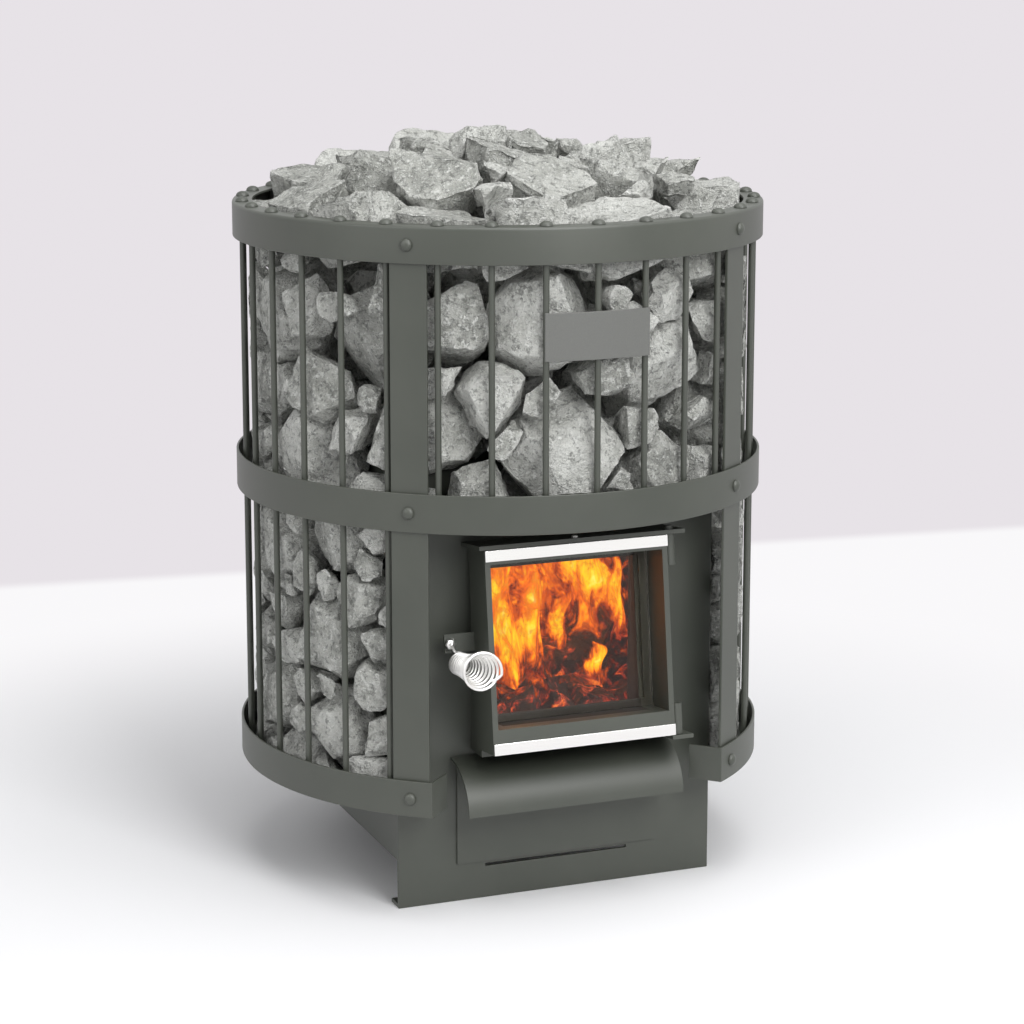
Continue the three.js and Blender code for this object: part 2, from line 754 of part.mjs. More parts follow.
place(doorGroup, 'door_frame', doorFrame(), finishes.heatPaint);
place(doorGroup, 'door_glass', doorGlass(), finishes.fireGlass);
place(doorGroup, 'top_trim', trim(doorHeight - trimHeight), finishes.polishedTrim);
place(doorGroup, 'bottom_trim', trim(0), finishes.polishedTrim);
place(doorGroup, 'door_handle', doorHandle(), finishes.brightWire);

// The drawer's front covers the opening in the front plate, and a sheet rolled to a quarter round over
// its upper half is the pull
function drawerFront() {
  const back = bodyFront - fitGap;
  const front = back - drawerSheet;
  const halfWidth = drawerFrontWidth / 2;
  const panel = block([-halfWidth, front, drawerFrontBottom], [halfWidth, back, drawerFrontTop]);
  const hoodBottom = drawerFrontTop - hoodDrop;
  const outline = new THREE.Shape();
  outline.absellipse(front, hoodBottom, hoodReach, hoodDrop, Math.PI / 2, Math.PI, false);
  const innerReach = hoodReach - drawerSheet;
  const innerDrop = hoodDrop - drawerSheet;
  outline.absellipse(front, hoodBottom, innerReach, innerDrop, Math.PI, Math.PI / 2, true);
  const hood = acrossWidth(outline, hoodWidth);
  const seamBottom = drawerFrontTop - drawerSheet;
  const seam = block([-halfWidth, front - drawerSheet, seamBottom], [halfWidth, back, drawerFrontTop]);
  return fuse([panel, hood, seam]);
}

function ashBox() {
  const front = bodyFront;
  const bottom = bodyBottom + floorSheet + fitGap;
  const half = ashBoxWidth / 2;
  const top = bottom + ashBoxHeight;
  const outer = block([-half, front, bottom], [half, front + ashBoxDepth, top]);
  const hollow = block(
    [-half + drawerSheet, front + drawerSheet, bottom + drawerSheet],
    [half - drawerSheet, front + ashBoxDepth - drawerSheet, top + drawerSheet],
  );
  return cut([outer], [hollow]);
}

place(stove, 'drawer_front', drawerFront(), finishes.heatPaint);
place(stove, 'ash_box', ashBox(), finishes.heatPaint);

// Repeatable numbers from 0 to 1
function numberStream(seed) {
  let state = seed;
  return () => {
    state = (Math.imul(state, 1664525) + 1013904223) >>> 0;
    return state / 2 ** 32;
  };
}

// One broken rock: the hull of corners spread round a spiral on an uneven, turned ball
function stone(centre, next) {
  const between = ([low, high]) => low + (high - low) * next();
  const stretch = new THREE.Vector3(between(stoneWidths), between(stoneWidths), between(stoneHeights));
  const turn = new THREE.Euler(stoneTilt * next(), stoneTilt * next(), 2 * Math.PI * next());
  const goldenAngle = Math.PI * (3 - Math.sqrt(5));
  const corners = Array.from({ length: stoneCorners }, (_, index) => {
    const height = 1 - (2 * index + 1) / stoneCorners;
    const angle = index * goldenAngle + stoneTwist * next();
    const ring = Math.sqrt(1 - height * height);
    const corner = new THREE.Vector3(ring * Math.cos(angle), ring * Math.sin(angle), height);
    corner.multiplyScalar(stoneReach * between(stoneRaggedness));
    return corner.multiply(stretch).applyEuler(turn).add(centre);
  });
  return new ConvexGeometry(corners);
}

// Rings of stones about the basket's axis, between two plan angles, one ring for each height
function stoneRings(radius, heights, firstAngle, lastAngle, next) {
  const arc = Math.abs(radians(lastAngle - firstAngle)) * radius;
  const count = Math.max(1, Math.round(arc / stoneStep));
  return heights.flatMap((height, layer) => Array.from({ length: count }, (_, index) => {
    const share = (index + 0.25 + 0.5 * (layer % 2)) / count;
    const spot = planPoint(radius, firstAngle + share * (lastAngle - firstAngle));
    const drift = () => (2 * next() - 1) * stoneDrift;
    return stone(new THREE.Vector3(spot.x + drift(), spot.y + drift(), height + drift()), next);
  }));
}

function layerHeights(bottom, top) {
  const layers = Math.max(1, Math.round((top - bottom) / stoneStep));
  return Array.from({ length: layers }, (_, layer) => bottom + ((layer + 0.5) * (top - bottom)) / layers);
}

// The space inside the rods, or inside the top ring's flange
function basketSpace(radius, bottom, top) {
  const geometry = new THREE.CylinderGeometry(radius, radius, top - bottom, rodCount / 2);
  return geometry.rotateX(Math.PI / 2).translate(0, 0, (bottom + top) / 2);
}

// Stones touch and carry each other, so a bed of them is one body: loose crumbs are left out
function stoneBed(stones, spaces, obstacles) {
  const space = join(spaces);
  const clipped = join(stones).intersect(space);
  const cleared = obstacles.map(solidOf).reduce((whole, tool) => whole.subtract(tool), clipped);
  const bodies = cleared.decompose();
  return geometryOf(bodies.reduce((best, body) => (body.volume() > best.volume() ? body : best)));
}

const bedSplit = bodyTop + stoneGap;
const outerStones = stoneRadius - 0.85 * stoneReach;

// The upper bed lies on the firebox's roof, fills the upper basket and is heaped above the top ring
function upperStones() {
  const next = numberStream(stoneSeed);
  const rim = topRingTop - ringWall - stoneGap;
  const heapBase = topRingTop - stoneReach / 2;
  const walls = stoneRings(outerStones, layerHeights(bedSplit, heapBase), 0, 360, next);
  const heap = heapRings.flatMap((share, ring) => {
    const rise = Math.sqrt((ring + 1) / heapRings.length);
    const height = heapBase + (stonePileTop - heapBase - stoneReach) * rise;
    return stoneRings(share * flangeInnerRadius, [height], 0, 360, next);
  });
  const core = basketSpace(outerStones - stoneReach / 4, bedSplit, heapBase);
  const spaces = [
    basketSpace(stoneRadius, bedSplit, rim),
    basketSpace(flangeInnerRadius - stoneGap, bedSplit, stonePileTop),
  ];
  return stoneBed([...walls, ...heap, core], spaces, []);
}

// A lower bed fills one side of the basket beside the firebox, from the front post to the flue outlet.
// The small stones packed against the firebox, which nothing shows, are one block
function lowerStones(side) {
  const next = numberStream(stoneSeed + side);
  const bottom = basketFloorTop + stoneGap;
  const top = bedSplit - stoneGap;
  const heights = layerHeights(bottom, top);
  const firstAngle = side * (ringMouthAngle + rodPitch);
  const lastAngle = side * (180 - rodPitch);
  const stones = stoneRings(outerStones, heights, firstAngle, lastAngle, next);
  const sideFace = bodyWidth / 2 + stoneGap;
  const rearFace = bodyRear + stoneGap;
  const clearOfFlue = flueBore / 2 + flueWall + flueFlangeWidth + stoneGap;
  const firebox = block([-sideFace, -ringOuterRadius, 0], [sideFace, rearFace, bodyTop]);
  const flueWay = block([-clearOfFlue, 0, 0], [clearOfFlue, ringOuterRadius, bodyTop]);
  const backing = block(
    [side > 0 ? 0 : -sideFace - stoneBacking, bodyFront, bottom],
    [side > 0 ? sideFace + stoneBacking : 0, rearFace + stoneBacking, top],
  );
  return stoneBed([...stones, backing], [basketSpace(stoneRadius, bottom, top)], [firebox, flueWay]);
}

place(stove, 'stones_upper', upperStones(), finishes.rock);
place(stove, 'stones_right', lowerStones(1), finishes.rock);
place(stove, 'stones_left', lowerStones(-1), finishes.rock);

export default stove;
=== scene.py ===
import math
from itertools import combinations

import bmesh
import bpy
import numpy as np
from mathutils import Matrix, Vector, noise


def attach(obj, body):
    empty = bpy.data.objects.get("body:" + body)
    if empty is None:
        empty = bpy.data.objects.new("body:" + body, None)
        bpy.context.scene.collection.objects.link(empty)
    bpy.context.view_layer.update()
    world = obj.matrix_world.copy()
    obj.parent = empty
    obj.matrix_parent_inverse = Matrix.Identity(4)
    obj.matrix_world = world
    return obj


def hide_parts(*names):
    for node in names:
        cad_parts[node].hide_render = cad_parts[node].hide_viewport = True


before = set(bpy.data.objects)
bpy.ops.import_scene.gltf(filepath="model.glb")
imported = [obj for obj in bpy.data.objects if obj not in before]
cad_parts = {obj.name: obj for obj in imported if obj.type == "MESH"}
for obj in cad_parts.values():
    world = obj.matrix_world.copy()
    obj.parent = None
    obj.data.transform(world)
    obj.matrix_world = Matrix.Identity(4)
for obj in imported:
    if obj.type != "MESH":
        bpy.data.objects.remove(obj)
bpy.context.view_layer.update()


# Firebox: 4 mm steel plates, cut and folded, welded to a box that stands on the folded feet of its front
# and rear plates. Everything in sheet steel is sprayed with one matt grey-black heat-proof paint, which
# soot covers inside the chamber and in the fire's mouth.
class Signal:
    """A value, colour or vector on its way through a node tree."""

    def __init__(self, bench, socket):
        self.bench = bench
        self.socket = socket

    def math(self, operation, first, second=0.0):
        return self.bench.node("ShaderNodeMath", {"operation": operation}, {0: first, 1: second})

    def __add__(self, other):
        return self.math("ADD", self, other)

    __radd__ = __add__

    def __sub__(self, other):
        return self.math("SUBTRACT", self, other)

    def __rsub__(self, other):
        return self.math("SUBTRACT", other, self)

    def __mul__(self, other):
        return self.math("MULTIPLY", self, other)

    __rmul__ = __mul__

    def __truediv__(self, other):
        return self.math("DIVIDE", self, other)

    def __pow__(self, other):
        return self.math("POWER", self, other)

    def __lt__(self, other):
        return self.math("LESS_THAN", self, other)

    def __gt__(self, other):
        return self.math("GREATER_THAN", self, other)

    def smaller(self, other):
        return self.math("MINIMUM", self, other)

    def larger(self, other):
        return self.math("MAXIMUM", self, other)


class Bench:
    """A node tree, to which a node is added with its settings and sockets in one call."""

    def __init__(self, tree):
        self.tree = tree

    def node(self, kind, settings=None, sockets=None, output=0):
        made = self.tree.nodes.new(kind)
        for name, value in (settings or {}).items():
            if name == "stops":
                self.set_stops(made.color_ramp, value)
            else:
                setattr(made, name, value)
        for name, value in (sockets or {}).items():
            self.feed(made.inputs[name], value)
        return Signal(self, made.outputs[output])

    def feed(self, socket, value):
        if isinstance(value, Signal):
            self.tree.links.new(value.socket, socket)
        else:
            socket.default_value = value

    def set_stops(self, ramp, stops):
        (first_place, first_colour), *others = stops
        ramp.elements.remove(ramp.elements[1])
        ramp.elements[0].position = first_place
        ramp.elements[0].color = (*first_colour, 1)
        for place, colour in others:
            ramp.elements.new(place).color = (*colour, 1)


class Finish(Bench):
    """A material: what is the same all over is set when it is made, patterns are added after.
    It notes a slot of its own name, unless made with fills_slot=False."""

    def __init__(self, name, fills_slot=True, **constants):
        self.slot = name if fills_slot else None
        self.material = bpy.data.materials.new(name)
        self.material.use_nodes = True
        super().__init__(self.material.node_tree)
        self.surface = self.tree.nodes["Principled BSDF"].inputs
        self.place = self.node("ShaderNodeTexCoord", output="Object")
        for socket, value in constants.items():
            self.surface[socket.replace("_", " ")].default_value = value

    def stretched(self, x, y, z):
        return self.node("ShaderNodeMapping", {}, {"Vector": self.place, "Scale": (x, y, z)})

    def cloud(self, scale, detail=2.0, roughness=0.5, distortion=0.0, place=None):
        sockets = {"Scale": scale, "Detail": detail, "Roughness": roughness, "Distortion": distortion}
        return self.node("ShaderNodeTexNoise", {}, {"Vector": place or self.place, **sockets})

    def ramp(self, share, *stops):
        return self.node("ShaderNodeValToRGB", {"stops": stops}, {"Fac": share})

    def step(self, value, low, high):
        sockets = {"Value": value, "From Min": low, "From Max": high}
        return self.node("ShaderNodeMapRange", {"interpolation_type": "SMOOTHSTEP"}, sockets)

    def along(self, axis):
        return self.node("ShaderNodeSeparateXYZ", {}, {"Vector": self.place}, axis)

    def within(self, low, high):
        """1 inside the box between two corners."""
        inside = 1.0
        for axis, least, most in zip("XYZ", low, high):
            inside = inside * ((self.along(axis) > least) * (self.along(axis) < most))
        return inside

    def blend(self, share, first, second):
        pair = [(*colour, 1) if isinstance(colour, tuple) else colour for colour in (first, second)]
        return self.node("ShaderNodeMix", {"data_type": "RGBA"}, {0: share, 6: pair[0], 7: pair[1]}, 2)

    def paint(self, socket, value):
        self.feed(self.surface[socket], value)

    def rough(self, height, strength, distance):
        sockets = {"Height": height, "Strength": strength, "Distance": distance}
        self.paint("Normal", self.node("ShaderNodeBump", {}, sockets))


heat_paint = Finish("heat_paint", Specular_IOR_Level=0.7)
spray_patches = heat_paint.cloud(7, detail=5, roughness=0.6)
spray_grain = heat_paint.cloud(1500, detail=2)
paint_tone = heat_paint.step(spray_patches * 0.8 + spray_grain * 0.2, 0.3, 0.7)
sprayed = heat_paint.blend(paint_tone, (0.039, 0.044, 0.034), (0.053, 0.058, 0.046))
mouth_low, mouth_high = (-0.0766, -0.21, 0.174), (0.0766, -0.15, 0.341)
chamber_low, chamber_high = (-0.1605, -0.1545, 0.15), (0.1605, 0.1545, 0.43)
in_mouth = heat_paint.within(mouth_low, mouth_high)
in_chamber = heat_paint.within(chamber_low, chamber_high)
soot = in_mouth.larger(in_chamber) * (0.6 + 0.4 * spray_patches)
heat_paint.paint("Base Color", heat_paint.blend(soot, sprayed, (0.012, 0.010, 0.009)))
heat_paint.paint("Roughness", 0.38 + 0.12 * spray_patches + 0.06 * spray_grain + 0.4 * soot)
heat_paint.rough(spray_grain + spray_patches, 0.12, 0.0006)


def add_piece(name, mesh, finish, body, *replaced):
    """A finished mesh as a piece that rides on a body and stands for the solids it is named for."""
    piece = bpy.data.objects.new(name, mesh)
    bpy.context.scene.collection.objects.link(piece)
    mesh.materials.clear()
    mesh.materials.append(finish.material)
    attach(piece, body)
    if replaced:
        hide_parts(*replaced)
    return piece


def mesh_from(work, name, crease=math.radians(32)):
    """A bmesh as a mesh that is smooth except over its sharp edges."""
    for face in work.faces:
        face.smooth = True
    for edge in work.edges:
        edge.smooth = edge.calc_face_angle(0) < crease
    mesh = bpy.data.meshes.new(name)
    work.to_mesh(mesh)
    work.free()
    return mesh


def ease_edges(piece, width, segments=2):
    bevel = piece.modifiers.new("eased_edges", "BEVEL")
    bevel.width = width
    bevel.segments = segments
    bevel.limit_method = "ANGLE"
    bevel.angle_limit = math.radians(40)
    bevel.harden_normals = True


def dress_node(node, body, finish, edge):
    """A solid's own shape with its corners merged and its edges eased."""
    work = bmesh.new()
    work.from_mesh(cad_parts[node].data)
    bmesh.ops.remove_doubles(work, verts=work.verts, dist=1e-5)
    flat = math.radians(0.3)
    bmesh.ops.dissolve_limit(work, angle_limit=flat, verts=work.verts, edges=work.edges)
    piece = add_piece(f"{node}_dressed", mesh_from(work, node), finish, body, node)
    ease_edges(piece, edge)
    return piece


sheet_edge = 0.0007
for node in ("front_plate", "rear_plate", "firebox_shell", "base_plate", "flue_collar", "basket_floor"):
    dress_node(node, "stove", heat_paint, sheet_edge)


# Hearth: one iron casting that lies wall to wall in the firebox, with the grate's slots in its middle.
# It is left as cast, grey-black and grainy, with pale ash in its pores.
cast_iron = Finish("cast_hearth", Metallic=0.6)
sand_grain = cast_iron.cloud(420, detail=6, roughness=0.7)
ash_film = cast_iron.step(cast_iron.cloud(35, detail=4), 0.45, 0.7)
cast_iron.paint("Base Color", cast_iron.blend(ash_film, (0.03, 0.03, 0.03), (0.16, 0.15, 0.14)))
cast_iron.paint("Roughness", 0.6 + 0.3 * sand_grain)
cast_iron.rough(sand_grain, 0.5, 0.001)
dress_node("hearth", "stove", cast_iron, 0.0015)


# Door: a deep frame folded from sheet leans on a wedge-shaped collar and swings on two pins at its right.
# The pins are held by a ledge over the door and a bracket below it.
for node in ("door_collar", "hinge_ledge", "hinge_bracket"):
    dress_node(node, "stove", heat_paint, sheet_edge)
dress_node("door_frame", "door", heat_paint, 0.0009)


# Trims: two strips of polished stainless steel on the door's upper and lower edge.
# Fine polishing lines run along them, and their edges are broken.
polished_trim = Finish("polished_trim", Metallic=1.0)
polish_lines = polished_trim.cloud(300, detail=3, place=polished_trim.stretched(0.02, 1, 6))
steel_tone = polished_trim.blend(polish_lines, (0.93, 0.92, 0.895), (0.97, 0.965, 0.945))
polished_trim.paint("Base Color", steel_tone)
polished_trim.paint("Roughness", 0.12 + 0.14 * polish_lines)
for node in ("top_trim", "bottom_trim"):
    dress_node(node, "door", polished_trim, 0.0006)


# Glass: a pane of clear ceramic glass that lies against the lip at the back of the door frame.
# Smoke leaves a brown film on it, thickest along the edges.
fire_glass = Finish("fire_glass", Roughness=0.02, IOR=1.3, Transmission_Weight=1.0)
smoke_film = fire_glass.cloud(30, detail=4)
fire_glass.paint("Base Color", fire_glass.blend(smoke_film, (0.99, 0.96, 0.92), (0.93, 0.87, 0.8)))
dress_node("door_glass", "door", fire_glass, 0.0005)


# Handle: one length of satin stainless wire. It comes down from its nut on the door's lug, winds
# forward and out in a trumpet-shaped coil that stays cool, and ends with its tip turned inwards.
bright_wire = Finish("bright_wire", Metallic=1.0)
drawn_lines = bright_wire.cloud(900, detail=2)
bright_wire.paint("Base Color", bright_wire.blend(drawn_lines, (0.80, 0.79, 0.765), (0.9, 0.89, 0.87)))
bright_wire.paint("Roughness", 0.3 + 0.14 * drawn_lines)

door_lean = math.radians(7.4)
door_place = Matrix.Translation((0, -0.1874, 0.162)) @ Matrix.Rotation(-door_lean, 4, "X")
wire_radius = 0.0014
coil_turns = 10.3
coil_rear_radius = 0.010
coil_front_radius = 0.0185
coil_length = 0.068
coil_centre = Vector((-0.1125, -0.0077, 0.086))
coil_tail = 0.0135
coil_bend = 0.004
coil_tuck = 0.007
tail_steps = 4
bend_steps = 6
steps_per_turn = 28


def handle_line():
    """Points along the wire in the door's own frame, from the bolt to the tip."""
    bend_centre = coil_centre + Vector((0, 0, coil_rear_radius + coil_bend))
    tail_top = coil_centre + Vector((-coil_bend, 0, coil_rear_radius + coil_tail))
    tail_end = bend_centre + Vector((-coil_bend, 0, 0))
    points = [tail_top.lerp(tail_end, step / tail_steps) for step in range(tail_steps)]
    for step in range(bend_steps):
        angle = math.pi + step / bend_steps * math.pi / 2
        points.append(bend_centre + coil_bend * Vector((math.cos(angle), 0, math.sin(angle))))
    turn_steps = round(coil_turns * steps_per_turn)
    tuck_steps = steps_per_turn // 8
    for step in range(turn_steps + tuck_steps + 1):
        share = min(step / turn_steps, 1)
        tucked = max(step - turn_steps, 0) / tuck_steps
        radius = coil_rear_radius + (coil_front_radius - coil_rear_radius) * share**2 - coil_tuck * tucked
        angle = math.pi / 2 - 2 * math.pi * step / steps_per_turn
        spot = Vector((radius * math.cos(angle), -coil_length * share, radius * math.sin(angle)))
        points.append(coil_centre + spot)
    return points


def tube(name, points, radius, sides=12):
    """A closed round tube along a line of points, with flat caps at its ends."""
    line = bpy.data.curves.new(name, "CURVE")
    line.dimensions = "3D"
    line.bevel_depth = radius
    line.bevel_resolution = sides // 4
    line.use_fill_caps = True
    spline = line.splines.new("POLY")
    spline.points.add(len(points) - 1)
    for point, place in zip(spline.points, points):
        point.co = (*place, 1)
    holder = bpy.data.objects.new(name, line)
    bpy.context.scene.collection.objects.link(holder)
    made = bpy.data.meshes.new_from_object(holder.evaluated_get(bpy.context.evaluated_depsgraph_get()))
    bpy.data.objects.remove(holder)
    work = bmesh.new()
    work.from_mesh(made)
    bmesh.ops.remove_doubles(work, verts=work.verts, dist=1e-6)
    return mesh_from(work, name)


handle_mesh = tube("handle", [door_place @ point for point in handle_line()], wire_radius)
add_piece("coil_handle", handle_mesh, bright_wire, "door", "door_handle")


def turned(work, profile, place, sides):
    """A closed body with a profile of radii and heights about its own upright axis, put in place."""
    rows = []
    for radius, height in profile:
        angles = [2 * math.pi * side / sides for side in range(sides)]
        spots = [Vector((radius * math.cos(angle), radius * math.sin(angle), height)) for angle in angles]
        rows.append([work.verts.new(place @ spot) for spot in spots])
    for lower, upper in zip(rows, rows[1:]):
        for side in range(sides):
            follower = (side + 1) % sides
            work.faces.new((lower[side], lower[follower], upper[follower], upper[side]))
    work.faces.new(list(reversed(rows[0])))
    work.faces.new(rows[-1])


nut_radius = 0.0052
nut_height = 0.0034
thread_radius = 0.002
nut_seat = Matrix.Translation((-0.1202, -0.0094, coil_centre.z + coil_rear_radius + coil_tail - 0.0045))
nut_place = door_place @ nut_seat @ Matrix.Rotation(math.pi / 2, 4, "X")
nut = bmesh.new()
nut_profile = [
    (0.9 * nut_radius, 0),
    (nut_radius, 0.15 * nut_height),
    (nut_radius, 0.8 * nut_height),
    (0.86 * nut_radius, nut_height),
]
turned(nut, nut_profile, nut_place, 6)
thread_profile = [
    (thread_radius, 0.9 * nut_height),
    (thread_radius, 1.5 * nut_height),
    (0.7 * thread_radius, 1.65 * nut_height),
]
turned(nut, thread_profile, nut_place, 16)
add_piece("handle_nut", mesh_from(nut, "handle_nut"), bright_wire, "door")


# Ledge screw: a small bright pan-head screw stands on the ledge over the door, in its middle.
# It holds the ledge to the collar below.
screw_radius = 0.0034
screw_height = 0.0032
screw_place = door_place @ Matrix.Translation((0, -0.040, 0.1992))
pan_head = [
    (screw_radius, 0),
    (screw_radius, 0.45 * screw_height),
    (0.86 * screw_radius, 0.8 * screw_height),
    (0.5 * screw_radius, screw_height),
    (0.36 * screw_radius, 0.97 * screw_height),
    (0.32 * screw_radius, 0.6 * screw_height),
]
screw = bmesh.new()
turned(screw, pan_head, screw_place, 20)
add_piece("ledge_screw", mesh_from(screw, "ledge_screw"), bright_wire, "stove")


# Ash drawer: a box of 2 mm sheet under the grate. Its front covers the opening in the front plate, and
# a sheet rolled to a quarter round over the upper half is the pull.
for node in ("drawer_front", "ash_box"):
    dress_node(node, "ash_drawer", heat_paint, sheet_edge / 2)


# Basket rings: steel strip rolled to hoops. The top ring has a flange at its upper edge that takes the
# rod heads; the bottom ring has one that carries the rods, and is open in front with its ends bent in.
ring_radius = 0.2635
ring_wall = 0.0025
ring_flange = 0.020
ring_steps = 240


def swept(name, path, section):
    """A section of inward offsets and heights carried along plan points that have an inward vector each.
    A path that comes back to its first point is closed, any other gets end caps."""
    work = bmesh.new()
    rows = [
        [work.verts.new((*(point + inward * offset), height)) for offset, height in section]
        for point, inward in path
    ]
    closed = (path[0][0] - path[-1][0]).length < 1e-9
    for first, second in zip(rows, rows[1:]):
        for index in range(len(section)):
            follower = (index + 1) % len(section)
            work.faces.new((first[index], second[index], second[follower], first[follower]))
    if closed:
        bmesh.ops.remove_doubles(work, verts=work.verts, dist=1e-7)
    else:
        work.faces.new(rows[0])
        work.faces.new(list(reversed(rows[-1])))
    bmesh.ops.recalc_face_normals(work, faces=work.faces)
    return mesh_from(work, name)


def plan_direction(degrees):
    """The direction in plan at an angle counted from the front towards +X."""
    return Vector((math.sin(math.radians(degrees)), -math.cos(math.radians(degrees))))


def arc_path(radius, first, last, steps):
    directions = [plan_direction(first + (last - first) * step / steps) for step in range(steps + 1)]
    return [(direction * radius, -direction) for direction in directions]


def rounded(centre_offset, centre_height, radius, first, last, steps=5):
    """Points of a rounded corner in a section, between two angles in degrees."""
    angles = [math.radians(first + (last - first) * step / steps) for step in range(steps + 1)]
    return [(centre_offset + radius * math.cos(a), centre_height + radius * math.sin(a)) for a in angles]


def strip_section(outer, inner, bottom, top):
    """A rectangular section between two inward offsets and two heights."""
    return [(outer, bottom), (outer, top), (inner, top), (inner, bottom)]


full_circle = arc_path(ring_radius, 0, 360, ring_steps)
top_ring_bottom, top_ring_top = 0.635, 0.670
shoulder = 0.003
top_section = [
    (0, top_ring_bottom),
    *rounded(shoulder, top_ring_top - shoulder, shoulder, 180, 90),
    (ring_flange, top_ring_top),
    (ring_flange, top_ring_top - ring_wall),
    (ring_wall, top_ring_top - ring_wall),
    (ring_wall, top_ring_bottom),
]
top_ring = swept("top_ring", full_circle, top_section)
ease_edges(add_piece("ring_top", top_ring, heat_paint, "stove", "top_ring"), sheet_edge)

middle_ring_bottom, middle_ring_top = 0.384, 0.421
middle_section = strip_section(0, ring_wall, middle_ring_bottom, middle_ring_top)
middle_ring = swept("middle_ring", full_circle, middle_section)
ease_edges(add_piece("ring_middle", middle_ring, heat_paint, "stove", "middle_ring"), sheet_edge)

bottom_ring_bottom, bottom_ring_top = 0.108, 0.143
mouth_angle = 35.0
tab_angle = mouth_angle + 10.5
tab_length = 0.034


def tab_path(side):
    """The bent end of the bottom ring on one side, from its corner to its tip."""
    turn = math.radians(tab_angle)
    along = Vector((-side * math.sin(turn), math.cos(turn)))
    inward = Vector((side * math.cos(turn), math.sin(turn)))
    corner_direction = plan_direction(side * mouth_angle)
    corner = corner_direction * ring_radius
    mitre = (inward - corner_direction).normalized()
    mitre /= mitre.dot(inward)
    return [(corner, mitre), (corner + along * tab_length, inward)]


bottom_arc = arc_path(ring_radius, mouth_angle, 360 - mouth_angle, ring_steps)
bottom_path = [*reversed(tab_path(1)), *bottom_arc[1:-1], *tab_path(-1)]
bottom_section = strip_section(0, ring_wall, bottom_ring_bottom, bottom_ring_top)
flange_top = bottom_ring_bottom + ring_wall
flange_section = strip_section(ring_wall / 2, ring_flange, bottom_ring_bottom, flange_top)
bottom_ring = bmesh.new()
bottom_ring.from_mesh(swept("band", bottom_path, bottom_section))
bottom_ring.from_mesh(swept("flange", bottom_arc, flange_section))
bottom_mesh = mesh_from(bottom_ring, "bottom_ring")
ease_edges(add_piece("ring_bottom", bottom_mesh, heat_paint, "stove", "bottom_ring"), sheet_edge)


# Posts: four flat steel bars stand behind the three rings and hold them at their heights.
# Each ring is riveted to each post, with the round head outside.
post_half_width = 0.01825
post_face = 0.26006
post_thickness = 0.003
post_bottom, post_top = 0.1108, 0.6672
rod_pitch = 11.25
post_angles = [side * pitches * rod_pitch for pitches in (3.53, 12.47) for side in (-1, 1)]
posts = bmesh.new()
for angle in post_angles:
    size = (2 * post_half_width, post_thickness, post_top - post_bottom)
    middle = Vector((0, -post_face + post_thickness / 2, (post_bottom + post_top) / 2))
    place = Matrix.Rotation(math.radians(angle), 4, "Z") @ Matrix.Translation(middle)
    bmesh.ops.create_cube(posts, size=1, matrix=place @ Matrix.Diagonal((*size, 1)))
post_nodes = [f"post_{end}_{side}" for end in ("front", "rear") for side in ("left", "right")]
post_mesh = mesh_from(posts, "posts")
ease_edges(add_piece("posts", post_mesh, heat_paint, "stove", *post_nodes), sheet_edge)


class Pattern(Bench):
    """A geometry node tree with named inputs for its sizes."""

    def __init__(self, name, **sizes):
        super().__init__(bpy.data.node_groups.new(name, "GeometryNodeTree"))
        self.sizes = {size.replace("_", " "): value for size, value in sizes.items()}
        face = self.tree.interface
        face.new_socket("Geometry", in_out="INPUT", socket_type="NodeSocketGeometry")
        face.new_socket("Geometry", in_out="OUTPUT", socket_type="NodeSocketGeometry")
        for size, value in self.sizes.items():
            kind = "NodeSocketInt" if isinstance(value, int) else "NodeSocketFloat"
            face.new_socket(size, in_out="INPUT", socket_type=kind)
        self.entry = self.tree.nodes.new("NodeGroupInput")

    def size(self, name):
        return Signal(self, self.entry.outputs[name])

    def vector(self, x, y, z):
        return self.node("ShaderNodeCombineXYZ", {}, {"X": x, "Y": y, "Z": z})

    def domed_head(self, radius, height):
        """A round head with a flat seat at its own origin."""
        ball = self.node("GeometryNodeMeshUVSphere", {}, {"Segments": 24, "Rings": 12, "Radius": 1.0})
        squat = self.node(
            "GeometryNodeTransform", {}, {"Geometry": ball, "Scale": self.vector(radius, radius, height)}
        )
        spot = self.node("GeometryNodeInputPosition")
        level = self.node("ShaderNodeSeparateXYZ", {}, {"Vector": spot}, "Z")
        below = {"Geometry": squat, "Selection": level < -1e-6}
        upper = self.node("GeometryNodeDeleteGeometry", {"domain": "POINT"}, below)
        return self.node("GeometryNodeConvexHull", {}, {"Geometry": upper})

    def made(self, name, result, finish, base=None):
        """The tree's result as a plain mesh."""
        solid = self.node("GeometryNodeRealizeInstances", {}, {"Geometry": result})
        dressed = self.node(
            "GeometryNodeSetMaterial", {}, {"Geometry": solid, "Material": finish.material}
        )
        self.feed(self.tree.nodes.new("NodeGroupOutput").inputs[0], dressed)
        holder = bpy.data.objects.new(name, base or bpy.data.meshes.new(name))
        bpy.context.scene.collection.objects.link(holder)
        modifier = holder.modifiers.new(name, "NODES")
        modifier.node_group = self.tree
        for item in self.tree.interface.items_tree:
            if item.in_out == "INPUT" and item.name in self.sizes:
                modifier[item.identifier] = self.sizes[item.name]
        mesh = bpy.data.meshes.new_from_object(holder.evaluated_get(bpy.context.evaluated_depsgraph_get()))
        bpy.data.objects.remove(holder)
        work = bmesh.new()
        work.from_mesh(mesh)
        return mesh_from(work, name)


